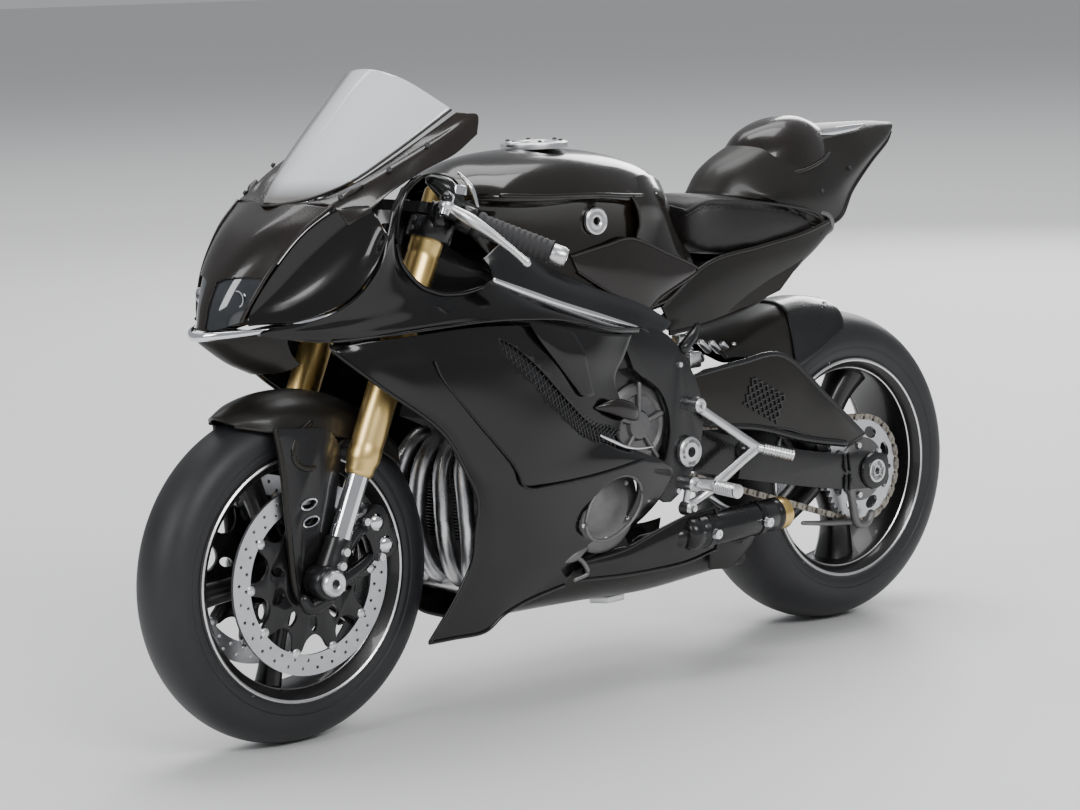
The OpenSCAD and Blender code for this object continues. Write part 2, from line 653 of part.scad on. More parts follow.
bar_in = [86, 27, 184.4];
bar_out = [54.6, 64, 164.6];
bar_dir = unit(bar_out - bar_in);

module on_bar(from) {
    translate(bar_in + from * bar_dir)
        rotate([0, acos(bar_dir[2]), atan2(bar_dir[1], bar_dir[0])]) children();
}

module handlebars() {
    color("#2a2b2e") both_sides() {
        on_rake(fork_base, fork_half) ring(fork_tube_r + 2.2, fork_tube_r + 0.02, 124.4, 132.2);
        on_bar(7) cylinder(r = 2.4, h = 42);
        rod_between([86, 29, 189.6], [90.4, 36, 189.4], 1.6);
        on_rake(lever_pivot, lever_pivot[1]) {
            translate([0, 0, 1.5]) cylinder(r = 2.6, h = 1.6);
            translate([0, 0, -2]) cylinder(r = 0.9, h = 4);
        }
    }
}

module grips() {
    color("#1a1a1c") both_sides() {
        on_bar(14) ring(4, 2.42, 0, 28);
        on_bar(42.4) ring(3.4, 2.42, 0, 5.4);
    }
}

lever_pivot = [92, 38, 186.4];

module lever_shape() {
    difference() {
        union() {
            on_rake(lever_pivot, lever_pivot[1]) translate([0, 0, -1.3]) cylinder(r = 2.6, h = 2.6);
            rod_between([91, 41, 184.4], [87, 51, 177.5], 1.9);
            rod_between([87, 51, 177.5], [80, 64, 167.5], 1.5);
        }
        on_rake(lever_pivot, lever_pivot[1]) translate([0, 0, -5]) cylinder(r = 0.9 + run_gap, h = 10);
    }
}

module clutch_lever() {
    color("#c9cacd") lever_shape();
}

module brake_lever() {
    color("#c9cacd") mirror([0, 1, 0]) lever_shape();
}

// ---------- fork, lower half ----------

module fork_sliders() {
    color("#d3d5d9") both_sides() on_rake(fork_base, fork_half)
        translate([0, 0, 14]) cylinder(r = slider_r, h = 90);
}

module fork_feet() {
    color("#1b1b1d") both_sides() difference() {
        union() {
            on_rake(fork_base, fork_half) translate([0, 0, -2]) cylinder(r = 5.2, h = 16);
            translate([front_axle_x, 0, front_axle_z]) rotate([-90, 0, 0])
                translate([0, 0, 18.4]) cylinder(r = 6, h = 8);
        }
        on_axle(front_axle_x, front_axle_z) translate([0, 0, 10]) cylinder(r = axle_r + 0.02, h = 30);
    }
}

guard_outline = [
    [152.5, 113], [149.5, 60], [145, 53], [141, 53.5], [134, 72], [127, 96], [126, 104], [134, 112]
];

module front_fender() {
    color("#23201c") {
        panel(wholes(fender_grid), side = -1);
        both_sides() difference() {
            side_plate(guard_outline, 16.2, 17.7);
            on_axle(front_axle_x, front_axle_z) translate([0, 0, 10]) cylinder(r = 6.1, h = 12);
            on_rake(fork_base, fork_half) translate([0, 0, -3]) cylinder(r = 6.4, h = 80);
        }
    }
}

caliper_angle = 205;

module front_calipers() {
    color("#1d1d1f") both_sides() on_axle(front_axle_x, front_axle_z)
        rotate([0, 0, caliper_angle]) translate([disc_r - 10, -9, 0]) difference() {
            translate([0, 0, 12.2]) cube([12, 18, 6.8]);
            translate([-1, -1, 13.6]) cube([12, 20, 2.3]);
        }
}

module front_axle() {
    color("#c8c9cc") on_axle(front_axle_x, front_axle_z) {
        ring(axle_r, axle_bore_r, -27.4, 27.4);
        ring(4.2, axle_bore_r, -28.8, -27.4);
        ring(4.2, axle_bore_r, 27.4, 28.8);
        ring(4, axle_r + 0.02, 15.7, 16.6);
        ring(4, axle_r + 0.02, -16.6, -15.7);
    }
}

// ---------- wheels ----------

function rim_section(lip_r, half, well_r, well_half, wall) = [
    [lip_r, -half], [lip_r - 1.8, 1.6 - half], [well_r, -well_half], [well_r, well_half],
    [lip_r - 1.8, half - 1.6], [lip_r, half], [lip_r - wall, half], [lip_r - 1.8 - wall, half - 1.2],
    [well_r - wall, well_half + 0.2], [well_r - wall, -well_half - 0.2],
    [lip_r - 1.8 - wall, 1.2 - half], [lip_r - wall, -half]
];

module spokes(count, inner, outer, wide, thick) {
    for (i = [0 : count - 1]) rotate([0, 0, i * 360 / count + 90])
        translate([0, 0, -thick / 2]) linear_extrude(thick)
            polygon([[inner, -wide / 2], [outer, -wide / 2 + 1], [outer, wide / 2 - 1], [inner, wide / 2]]);
}

module wheel_rim(section, hub, half_hub, well, wide, thick) {
    difference() {
        union() {
            rotate_extrude() polygon(section);
            translate([0, 0, -half_hub]) cylinder(r = hub, h = 2 * half_hub);
            spokes(5, hub - 1.5, well - 0.4, wide, thick);
        }
        translate([0, 0, -half_hub - 1]) cylinder(r = axle_r + run_gap, h = 2 * half_hub + 2);
    }
}

module front_rim() {
    color("#1a1a1c") on_axle(front_axle_x, front_axle_z)
        wheel_rim(rim_section(44.6, 11.2, 40.4, 5.6, 1.6), hub_r, 14.2, 40.4, 9, 7);
}

module front_tyre() {
    color("#2b2c2e") on_axle(front_axle_x, front_axle_z) rotate_extrude($fn = 96)
        polygon(tyre_section(front_tyre_r, front_tyre_half, 50, 44.7, 11, 2));
}

module front_discs() {
    color("#b9bbc0") both_sides() on_axle(front_axle_x, front_axle_z) {
        ring(disc_r, 25.8, 14.2, 15.4);
        difference() {
            translate([0, 0, 14.2]) linear_extrude(1.2)
                polygon([for (a = [0 : 18 : 342]) (a % 36 == 0 ? 26 : 17) * [cos(a), sin(a)]]);
            translate([0, 0, 10]) cylinder(r = 4.2, h = 8);
        }
    }
}

module rear_rim() {
    color("#1c1c1e") on_axle(rear_axle_x, rear_axle_z)
        wheel_rim(rim_section(45, 16.6, 41.4, 10.5, 1.6), 11, 17, 41.4, 13, 9);
}

module rear_tyre() {
    color("#29292b") on_axle(rear_axle_x, rear_axle_z) rotate_extrude($fn = 96)
        polygon(tyre_section(rear_tyre_r, rear_tyre_half, 51, 45.1, 16.4, 2.4));
}

module rear_sprocket() {
    color("#b4b5b8") on_axle(rear_axle_x, rear_axle_z) difference() {
        union() {
            translate([0, 0, chain_y - 0.8]) linear_extrude(1.6)
                polygon(sprocket_points(rear_teeth, rear_sprocket_r - 1.2, rear_sprocket_r + 0.2));
            translate([0, 0, 17.2]) cylinder(r = 9, h = chain_y - 17.2);
        }
        translate([0, 0, 10]) cylinder(r = axle_r + run_gap, h = 20);
    }
}

module rear_disc() {
    color("#aeb0b4") on_axle(rear_axle_x, rear_axle_z) {
        ring(17, 9, -20.8, -19.6);
        ring(9, axle_r + run_gap, -21.4, -17.2);
    }
}

// ---------- swingarm ----------

arm_outline = [
    [-20.5, 84], [-23, 91], [-30, 93.5], [-52, 88], [-88, 78], [-120, 71.6], [-142, 69],
    [-144.4, 63], [-142, 56.6], [-120, 57.6], [-90, 63], [-58, 70], [-32, 76.4], [-23, 78]
];

module swingarm() {
    color("#151516") difference() {
        union() {
            both_sides() side_plate(arm_outline, 24.8, 26.8);
            both_sides() side_plate([for (p = arm_outline) if (p[0] < -50) p], 24.8, 29.6);
            translate([-68, -25, 76]) cube([9, 50, 7]);
            both_sides() side_plate([[-68, 80], [-60, 80], [-55.4, 102], [-57.4, 106], [-62, 103]], 3.6, 5.2);
            on_axle(shock_low[0], shock_low[2]) translate([0, 0, -5]) cylinder(r = 1, h = 10);
            both_sides() on_axle(pivot_x, pivot_z) ring(6, 3.6, 23.6, 26.8);
            both_sides() side_plate([[-128, 60], [-123, 60], [-122, 42], [-129, 42]], 25, 27);
        }
        on_axle(pivot_x, pivot_z) translate([0, 0, -40]) cylinder(r = 3.5 + run_gap, h = 80);
        on_axle(rear_axle_x, rear_axle_z) translate([0, 0, -40]) cylinder(r = axle_r + 0.02, h = 80);
    }
}

module rear_axle() {
    color("#c8c9cc") on_axle(rear_axle_x, rear_axle_z) {
        ring(axle_r, axle_bore_r, -30, 30);
        ring(4.6, axle_bore_r, -31.6, -30);
        ring(4.6, axle_bore_r, 30, 31.6);
        ring(4.6, axle_r + 0.02, 23, 24.6);
        ring(4.6, axle_r + 0.02, -24.6, -21.6);
    }
}

chain_gap = 0.35;

module chain_line(grow) {
    hull() {
        translate([pivot_x, -pivot_z]) circle(r = drive_sprocket_r + grow);
        translate([rear_axle_x, -rear_axle_z]) circle(r = rear_sprocket_r + grow);
    }
}

module drive_chain() {
    color("#7d7466") translate([0, chain_y - 1.4, 0]) rotate([-90, 0, 0]) linear_extrude(2.8)
        difference() {
            chain_line(1.9);
            chain_line(0.2 + chain_gap);
        }
}

module hugger() {
    color("#24211e") panel(wholes(hugger_grid));
}

cover_outline = [
    [-44, 113.2], [-87.8, 114.3], [-132, 79], [-121, 75.6], [-88, 86], [-49, 91.5]
];

module swingarm_cover() {
    color("#191919") side_plate(cover_outline, 25, 26.6);
}

// ---------- shock absorber ----------

module on_shock() {
    translate(shock_top) rotate([0, 180 + shock_lean, 0]) children();
}

module shock_eye(z, r, bore, half) {
    translate([0, 0, z]) rotate([90, 0, 0]) difference() {
        cylinder(r = r, h = 2 * half, center = true);
        cylinder(r = bore, h = 2 * half + 2, center = true);
    }
}

module shock_body() {
    color("#c8a23c") on_shock() {
        shock_eye(0, 3.4, 1.5 + run_gap, 3);
        difference() {
            union() {
                translate([0, 0, 3]) cylinder(r = 4, h = 22);
                translate([0, 0, 6]) cylinder(r = 6.6, h = 2);
            }
            translate([0, 0, 8]) cylinder(r = 1.5 + run_gap, h = 30);
        }
    }
}

module shock_rod() {
    color("#c9cacd") on_shock() {
        translate([0, 0, 14]) cylinder(r = 1.5, h = shock_len - 17);
        shock_eye(shock_len, 3.4, 1.6, 3);
        translate([0, 0, shock_len - 5.4]) cylinder(r = 6.6, h = 2);
    }
}

module shock_spring() {
    color("#d8d9dc") on_shock() ring(6.4, 5, 8.1, shock_len - 5.5);
}

main_frame();
subframe();
crankcase();
crank_covers();
drive_motor();
battery_pack();
speed_controller();
receiver();
steering_servo();
radiator();
exhaust_headers();
exhaust_canister();
exhaust_tip();
upper_cowl();
headlights();
nose_chin();
windscreen();
side_panels();
side_fairings();
belly_pan();
belly_loop();
tank_cover();
tank_fittings();
seat();
tail_cowl();
tail_pad();
tail_light();
rearsets();
pivot_bolt();
drive_sprocket();
motor_pinion();
servo_horn();
link_rod();
upper_clamp();
lower_clamp();
fork_tubes();
handlebars();
grips();
clutch_lever();
brake_lever();
fork_sliders();
fork_feet();
front_fender();
front_calipers();
front_axle();
front_rim();
front_tyre();
front_discs();
swingarm();
rear_axle();
drive_chain();
hugger();
swingarm_cover();
rear_rim();
rear_tyre();
rear_sprocket();
rear_disc();
shock_body();
shock_rod();
shock_spring();
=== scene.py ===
import json
import math

import bmesh
import bpy
from mathutils import Matrix, Vector


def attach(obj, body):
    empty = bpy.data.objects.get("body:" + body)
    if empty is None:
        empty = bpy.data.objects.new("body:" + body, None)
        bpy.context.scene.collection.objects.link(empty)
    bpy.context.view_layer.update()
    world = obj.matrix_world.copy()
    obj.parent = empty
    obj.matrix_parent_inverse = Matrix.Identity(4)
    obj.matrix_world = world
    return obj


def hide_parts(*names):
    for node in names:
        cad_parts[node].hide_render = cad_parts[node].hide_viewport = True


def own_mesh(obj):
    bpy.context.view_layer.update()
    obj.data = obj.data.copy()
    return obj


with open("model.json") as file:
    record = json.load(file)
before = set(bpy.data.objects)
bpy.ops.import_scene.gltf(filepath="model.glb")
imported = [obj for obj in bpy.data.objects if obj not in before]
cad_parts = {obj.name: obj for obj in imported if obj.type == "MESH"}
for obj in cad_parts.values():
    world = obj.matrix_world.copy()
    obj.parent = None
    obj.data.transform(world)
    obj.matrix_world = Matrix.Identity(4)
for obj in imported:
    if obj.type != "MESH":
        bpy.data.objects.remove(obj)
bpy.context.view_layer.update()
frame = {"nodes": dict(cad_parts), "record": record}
nodes = frame["nodes"]
print("frame loaded:", len(nodes), "nodes")

mm = 0.001


# camera, floor and light

cameraSetup = {
    "place": (0.77767, 0.84406, 0.26242),
    "yaw": 227.98,      # degrees round +Z that the camera looks along
    "pitch": -7.89,
    "roll": -1.81,
    "lens": 102.02,
    "sensor": 36.0,
}


def makeCamera(setup):
    yaw, pitch, roll = (math.radians(setup[k]) for k in ("yaw", "pitch", "roll"))
    look = Vector((math.cos(yaw) * math.cos(pitch), math.sin(yaw) * math.cos(pitch), math.sin(pitch)))
    level = look.cross(Vector((0, 0, 1))).normalized()
    over = level.cross(look)
    right = level * math.cos(roll) + over * math.sin(roll)
    up = over * math.cos(roll) - level * math.sin(roll)
    data = bpy.data.cameras.new("mainCamera")
    data.lens = setup["lens"]
    data.sensor_width = setup["sensor"]
    cam = bpy.data.objects.new("mainCamera", data)
    cam.matrix_world = Matrix((
        (right.x, up.x, -look.x, setup["place"][0]),
        (right.y, up.y, -look.y, setup["place"][1]),
        (right.z, up.z, -look.z, setup["place"][2]),
        (0, 0, 0, 1),
    ))
    bpy.context.scene.collection.objects.link(cam)
    bpy.context.scene.camera = cam


makeCamera(cameraSetup)

studio = {
    "floorHalf": 60.0,
    "floorColour": (0.74, 0.74, 0.74, 1),
    "worldColour": (0.75, 0.77, 0.8, 1),
    "worldStrength": 0.5,
    # name: place, target, size, power
    "lamps": {
        "keySoftbox": ((0.4, 1.6, 1.2), (0, 0, 0.1), (1.1, 0.5), 20),
        "noseSoftbox": ((1.7, 0.1, 1.0), (0.1, 0, 0.12), (0.6, 0.8), 12),
        "topSoftbox": ((-0.2, -0.2, 1.7), (0, 0, 0.1), (1.3, 0.6), 16),
        "backSoftbox": ((-1.1, -1.5, 2.6), (-2.4, -2.6, 0), (2.4, 2.4), 60),
        "rimSoftbox": ((-1.5, -0.9, 0.8), (0, 0, 0.12), (0.6, 0.8), 12),
    },
}


def makeStudio(setup):
    half = setup["floorHalf"]
    mesh = bpy.data.meshes.new("studioFloor")
    corners = [(-half, -half, 0), (half, -half, 0), (half, half, 0), (-half, half, 0)]
    mesh.from_pydata(corners, [], [(0, 1, 2, 3)])
    floor = bpy.data.objects.new("studioFloor", mesh)
    bpy.context.scene.collection.objects.link(floor)
    mat = bpy.data.materials.new("paleFloor")
    mat.use_nodes = True
    shader = mat.node_tree.nodes["Principled BSDF"]
    shader.inputs["Base Color"].default_value = setup["floorColour"]
    shader.inputs["Roughness"].default_value = 0.6
    floor.data.materials.append(mat)
    world = bpy.data.worlds.new("studioWorld")
    world.use_nodes = True
    sky = world.node_tree.nodes["Background"]
    sky.inputs[0].default_value = setup["worldColour"]
    sky.inputs[1].default_value = setup["worldStrength"]
    bpy.context.scene.world = world
    for name, (place, target, size, power) in setup["lamps"].items():
        data = bpy.data.lights.new(name, "AREA")
        data.shape = "RECTANGLE"
        data.size, data.size_y = size
        data.energy = power
        lamp = bpy.data.objects.new(name, data)
        lamp.location = place
        lamp.rotation_euler = (Vector(target) - Vector(place)).to_track_quat("-Z", "Y").to_euler()
        bpy.context.scene.collection.objects.link(lamp)


makeStudio(studio)
print("camera and studio ready")


# finishes

finishes = {
    # colour, second colour, patch scale (per metre), roughness low and high, metal, coat,
    # grain scale, grain depth
    "fairingGloss": dict(colour=(0.0025, 0.0025, 0.003), second=(0.006, 0.005, 0.0045), patch=14,
                         rough=(0.1, 0.2),
                         level=0.3, coat=0.35, grain=900, depth=0.02, slot="gloss_black"),
    "tankGloss": dict(colour=(0.005, 0.004, 0.003), second=(0.012, 0.009, 0.006), patch=16,
                      rough=(0.13, 0.24),
                      level=0.35, coat=0.4, grain=800, depth=0.02, slot="tank_black"),
    # a warmer, lighter copy of the black gloss; its brown tint is a painted reflection of the surroundings on
    # the black paint
    "brownReflectionGloss": dict(colour=(0.008, 0.006, 0.005), second=(0.017, 0.0125, 0.01), patch=12, rough=(0.2, 0.32),
                      level=0.35, coat=0.35, grain=800, depth=0.02, slot="gloss_black"),
    "satinPlastic": dict(colour=(0.008, 0.007, 0.006), second=(0.016, 0.0135, 0.011), patch=18,
                         rough=(0.32, 0.46),
                         level=0.35, coat=0.08, grain=1400, depth=0.08, slot="satin_black"),
    "framePaint": dict(colour=(0.004, 0.004, 0.0045), second=(0.009, 0.009, 0.01), patch=30,
                       rough=(0.22, 0.36),
                       level=0.35, coat=0.3, grain=1200, depth=0.05, slot="frame_black"),
    "rimPaint": dict(colour=(0.006, 0.006, 0.0065), second=(0.014, 0.013, 0.012), patch=26, rough=(0.24, 0.4),
                     level=0.4, coat=0.3, grain=1400, depth=0.06, slot="frame_black"),
    "castMetal": dict(colour=(0.14, 0.14, 0.145), second=(0.24, 0.235, 0.23), patch=60, rough=(0.42, 0.6),
                      metal=0.9, grain=1800, depth=0.25, slot="cast_grey"),
    "goldAnodised": dict(colour=(0.74, 0.51, 0.17), second=(0.82, 0.59, 0.24), patch=30, rough=(0.26, 0.36),
                         metal=1.0, coat=0.2, grain=2400, depth=0.02, slot="gold_anodised"),
    "polishedChrome": dict(colour=(0.78, 0.79, 0.81), second=(0.9, 0.9, 0.92), patch=40, rough=(0.05, 0.14),
                           metal=1.0, grain=900, depth=0.015, slot="polished"),
    "brightAlloy": dict(colour=(0.66, 0.66, 0.67), second=(0.85, 0.85, 0.86), patch=70, rough=(0.24, 0.4),
                        metal=1.0, grain=2200, depth=0.12, slot="bright_alloy"),
    "discSteel": dict(colour=(0.5, 0.51, 0.53), second=(0.68, 0.69, 0.71), patch=50, rough=(0.28, 0.42),
                      metal=1.0, grain=2600, depth=0.06, slot="disc_steel"),
    "chainSteel": dict(colour=(0.2, 0.18, 0.16), second=(0.42, 0.39, 0.34), patch=160, rough=(0.3, 0.5),
                       metal=1.0, grain=2600, depth=0.1, slot="chain_steel"),
    "tyreRubber": dict(colour=(0.011, 0.0115, 0.0135), second=(0.022, 0.022, 0.024), patch=30,
                       rough=(0.42, 0.56),
                       level=0.45, grain=2600, depth=0.15, slot="tyre"),
    "gripRubber": dict(colour=(0.015, 0.015, 0.016), second=(0.03, 0.03, 0.032), patch=60, rough=(0.55, 0.75),
                       grain=2600, depth=0.3, slot="rubber"),
    "lampGlass": dict(colour=(0.01, 0.012, 0.014), second=(0.03, 0.034, 0.04), patch=60, rough=(0.03, 0.09),
                      coat=1.0, grain=400, depth=0.01, slot="lamp_lens"),
    "redLens": dict(colour=(0.2, 0.006, 0.006), second=(0.34, 0.012, 0.01), patch=200, rough=(0.08, 0.2),
                    coat=1.0, grain=900, depth=0.02, slot="tail_lens"),
    "seatVinyl": dict(colour=(0.012, 0.0105, 0.01), second=(0.022, 0.019, 0.018), patch=24, rough=(0.36, 0.5),
                      level=0.5, grain=1500, depth=0.4, slot="seat_vinyl"),
    "batteryWrap": dict(colour=(0.02, 0.07, 0.26), second=(0.03, 0.1, 0.36), patch=40, rough=(0.24, 0.36),
                        grain=600, depth=0.2, slot="battery_wrap"),
    "darkPlastic": dict(colour=(0.025, 0.025, 0.028), second=(0.05, 0.05, 0.054), patch=60, rough=(0.45, 0.6),
                        grain=2000, depth=0.3, slot="dark_plastic"),
    "turnedBrass": dict(colour=(0.6, 0.4, 0.14), second=(0.78, 0.56, 0.24), patch=90, rough=(0.22, 0.36),
                        metal=1.0, grain=2400, depth=0.08, slot="brass"),
    "nylonWhite": dict(colour=(0.6, 0.6, 0.57), second=(0.72, 0.72, 0.69), patch=80, rough=(0.4, 0.52),
                       grain=1500, depth=0.1, slot="white_plastic"),
}
finishMade = {}


def link(tree, a, b):
    tree.links.new(a, b)


def finish(name):
    if name in finishMade:
        return finishMade[name]
    spec = finishes[name]
    mat = bpy.data.materials.new(name)
    mat.use_nodes = True
    tree = mat.node_tree
    shader = tree.nodes["Principled BSDF"]
    place = tree.nodes.new("ShaderNodeTexCoord")
    patch = tree.nodes.new("ShaderNodeTexNoise")
    patch.inputs["Scale"].default_value = spec["patch"]
    patch.inputs["Detail"].default_value = 6
    patch.inputs["Roughness"].default_value = 0.62
    link(tree, place.outputs["Object"], patch.inputs["Vector"])
    tone = tree.nodes.new("ShaderNodeMix")
    tone.data_type = "RGBA"
    tone.inputs[6].default_value = (*spec["colour"], 1)
    tone.inputs[7].default_value = (*spec["second"], 1)
    spread = tree.nodes.new("ShaderNodeMapRange")
    spread.inputs["From Min"].default_value = 0.32
    spread.inputs["From Max"].default_value = 0.68
    link(tree, patch.outputs["Fac"], spread.inputs["Value"])
    link(tree, spread.outputs["Result"], tone.inputs[0])
    link(tree, tone.outputs[2], shader.inputs["Base Color"])
    grain = tree.nodes.new("ShaderNodeTexNoise")
    grain.inputs["Scale"].default_value = spec["grain"]
    grain.inputs["Detail"].default_value = 4
    link(tree, place.outputs["Object"], grain.inputs["Vector"])
    wear = tree.nodes.new("ShaderNodeMapRange")
    wear.inputs["From Min"].default_value = 0.3
    wear.inputs["From Max"].default_value = 0.7
    wear.inputs["To Min"].default_value = spec["rough"][0]
    wear.inputs["To Max"].default_value = spec["rough"][1]
    both = tree.nodes.new("ShaderNodeMath")
    both.operation = "MULTIPLY_ADD"
    both.inputs[1].default_value = 0.35
    link(tree, grain.outputs["Fac"], both.inputs[0])
    soften = tree.nodes.new("ShaderNodeMath")
    soften.operation = "MULTIPLY"
    soften.inputs[1].default_value = 0.65
    link(tree, patch.outputs["Fac"], soften.inputs[0])
    link(tree, soften.outputs[0], both.inputs[2])
    link(tree, both.outputs[0], wear.inputs["Value"])
    link(tree, wear.outputs["Result"], shader.inputs["Roughness"])
    bump = tree.nodes.new("ShaderNodeBump")
    bump.inputs["Strength"].default_value = spec["depth"]
    bump.inputs["Distance"].default_value = 0.0003
    link(tree, grain.outputs["Fac"], bump.inputs["Height"])
    link(tree, bump.outputs["Normal"], shader.inputs["Normal"])
    shader.inputs["Metallic"].default_value = spec.get("metal", 0.0)
    shader.inputs["Coat Weight"].default_value = spec.get("coat", 0.0)
    shader.inputs["Coat Roughness"].default_value = 0.06
    shader.inputs["Specular IOR Level"].default_value = spec.get("level", 0.5)
    mat["slot"] = spec["slot"]
    finishMade[name] = mat
    return mat


screenFinish = {"colour": (0.86, 0.88, 0.92), "smoke": (0.2, 0.19, 0.18), "strip": (-9.5, -6),
                "foot": (191, 197),
                "alpha": 0.84, "rough": 0.08}


def makeScreenFinish(spec):
    mat = bpy.data.materials.new("screenTint")
    mat.use_nodes = True
    tree = mat.node_tree
    shader = tree.nodes["Principled BSDF"]
    place = tree.nodes.new("ShaderNodeTexCoord")
    haze = tree.nodes.new("ShaderNodeTexNoise")
    haze.inputs["Scale"].default_value = 18
    haze.inputs["Detail"].default_value = 3
    link(tree, place.outputs["Object"], haze.inputs["Vector"])
    tone = tree.nodes.new("ShaderNodeMix")
    tone.data_type = "RGBA"
    tone.inputs[6].default_value = (*spec["colour"], 1)
    tone.inputs[7].default_value = (*[c * 0.9 for c in spec["colour"]], 1)
    link(tree, haze.outputs["Fac"], tone.inputs[0])
    across = tree.nodes.new("ShaderNodeSeparateXYZ")
    link(tree, place.outputs["Object"], across.inputs[0])
    fade = tree.nodes.new("ShaderNodeMapRange")
    fade.inputs["From Min"].default_value = spec["strip"][0] * mm
    fade.inputs["From Max"].default_value = spec["strip"][1] * mm
    link(tree, across.outputs["Y"], fade.inputs["Value"])
    smoke = tree.nodes.new("ShaderNodeMix")
    smoke.data_type = "RGBA"
    smoke.inputs[6].default_value = (*spec["smoke"], 1)
    link(tree, fade.outputs["Result"], smoke.inputs[0])
    link(tree, tone.outputs[2], smoke.inputs[7])
    foot = tree.nodes.new("ShaderNodeMapRange")
    foot.inputs["From Min"].default_value = spec["foot"][0] * mm
    foot.inputs["From Max"].default_value = spec["foot"][1] * mm
    link(tree, across.outputs["Z"], foot.inputs["Value"])
    low = tree.nodes.new("ShaderNodeMix")
    low.data_type = "RGBA"
    low.inputs[6].default_value = (*spec["smoke"], 1)
    link(tree, foot.outputs["Result"], low.inputs[0])
    link(tree, smoke.outputs[2], low.inputs[7])
    link(tree, low.outputs[2], shader.inputs["Base Color"])
    wear = tree.nodes.new("ShaderNodeMapRange")
    wear.inputs["To Min"].default_value = spec["rough"] * 0.6
    wear.inputs["To Max"].default_value = spec["rough"] * 1.8
    link(tree, haze.outputs["Fac"], wear.inputs["Value"])
    link(tree, wear.outputs["Result"], shader.inputs["Roughness"])
    shader.inputs["Alpha"].default_value = spec["alpha"]
    shader.inputs["Coat Weight"].default_value = 1.0
    mat["slot"] = "screen"
    finishMade["screenTint"] = mat


makeScreenFinish(screenFinish)


# shared mesh helpers; the sizes given to them are in millimetres

def shape(name, data, repair=True):
    verts, faces = data
    mesh = bpy.data.meshes.new(name)
    mesh.from_pydata([(v[0] * mm, v[1] * mm, v[2] * mm) for v in verts], [], faces)
    work = bmesh.new()
    work.from_mesh(mesh)
    bmesh.ops.remove_doubles(work, verts=work.verts, dist=0.000004)
    if repair:
        bmesh.ops.recalc_face_normals(work, faces=work.faces)
    work.to_mesh(mesh)
    work.free()
    piece = bpy.data.objects.new(name, mesh)
    bpy.context.scene.collection.objects.link(piece)
    return piece


def settle(piece, finishName, body, replaces=(), angle=42):
    mesh = piece.data
    for face in mesh.polygons:
        face.use_smooth = True
    mesh.set_sharp_from_angle(angle=math.radians(angle))
    mat = finish(finishName)
    mesh.materials.clear()
    mesh.materials.append(mat)
    for face in mesh.polygons:
        face.material_index = 0
    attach(piece, body)
    if replaces:
        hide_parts(*replaces)
    return piece


def bake(piece):
    graph = bpy.context.evaluated_depsgraph_get()
    mesh = bpy.data.meshes.new_from_object(piece.evaluated_get(graph))
    piece.modifiers.clear()
    piece.data = mesh
    mesh.name = piece.name
    return piece


def rounded(piece, width, segments=2, angle=35):
    mod = piece.modifiers.new("edgeRound", "BEVEL")
    mod.width = width * mm
    mod.segments = segments
    mod.limit_method = "ANGLE"
    mod.angle_limit = math.radians(angle)
    return bake(piece)


def cutAway(piece, *cutters):
    for n, data in enumerate(cutters):
        tool = shape("cutter" + str(n), data)
        mod = piece.modifiers.new("cut" + str(n), "BOOLEAN")
        mod.operation = "DIFFERENCE"
        mod.solver = "EXACT"
        mod.object = tool
        bake(piece)
        bpy.data.objects.remove(tool)
    return piece


def refine(points, k):
    def at(i):
        if i < 0:
            return [2 * p - q for p, q in zip(points[0], points[1])]
        if i >= len(points):
            return [2 * p - q for p, q in zip(points[-1], points[-2])]
        return points[i]

    found = []
    for i in range(len(points) - 1):
        a, b, c, d = at(i - 1), at(i), at(i + 1), at(i + 2)
        for j in range(k):
            t = j / k
            found.append(tuple(
                0.5 * (2 * q + (r - p) * t + (2 * p - 5 * q + 4 * r - s) * t * t
                       + (3 * q - p - 3 * r + s) * t ** 3) for p, q, r, s in zip(a, b, c, d)))
    found.append(tuple(points[-1]))
    return found


def smoothGrid(grid, rowSteps, columnSteps):
    across = [refine(row, columnSteps) for row in grid]
    along = [refine(list(column), rowSteps) for column in zip(*across)]
    return [list(row) for row in zip(*along)]


def wholeRow(row):
    return [(p[0], -p[1], p[2]) for p in reversed(row[1:])] + [tuple(p) for p in row]


def gridNormals(rows):
    n, m = len(rows), len(rows[0])

    def normal(i, j):
        du = Vector(rows[min(i + 1, n - 1)][j]) - Vector(rows[max(i - 1, 0)][j])
        dv = Vector(rows[i][min(j + 1, m - 1)]) - Vector(rows[i][max(j - 1, 0)])
        return du.cross(dv).normalized()

    return [[normal(i, j) for j in range(m)] for i in range(n)]


def gridFaces(n, m, start=0):
    return [(start + i * m + j, start + (i + 1) * m + j, start + (i + 1) * m + j + 1, start + i * m + j + 1)
            for i in range(n - 1) for j in range(m - 1)]


def shell(grid, wall, outward, whole=False, steps=(8, 6), lift=0.0):
    # outward is +1 where rows crossed with columns already point out of the panel
    rows = smoothGrid([wholeRow(r) for r in grid] if whole else grid, *steps)
    normals = gridNormals(rows)
    n, m = len(rows), len(rows[0])
    cells = [(i, j) for i in range(n) for j in range(m)]
    outer = [tuple(Vector(rows[i][j]) + normals[i][j] * outward * lift) for i, j in cells]
    inner = [tuple(Vector(rows[i][j]) + normals[i][j] * outward * (lift - wall)) for i, j in cells]
    count = n * m
    faces = gridFaces(n, m) + gridFaces(n, m, count)
    rim = [i * m for i in range(n)] + [(n - 1) * m + j for j in range(1, m)]
    rim += [i * m + m - 1 for i in range(n - 2, -1, -1)] + list(range(m - 2, 0, -1))
    faces += [(a, b, b + count, a + count) for a, b in zip(rim, rim[1:] + rim[:1])]
    return outer + inner, faces


def mirrored(data):
    verts, faces = data
    return [(v[0], -v[1], v[2]) for v in verts], [tuple(reversed(f)) for f in faces]


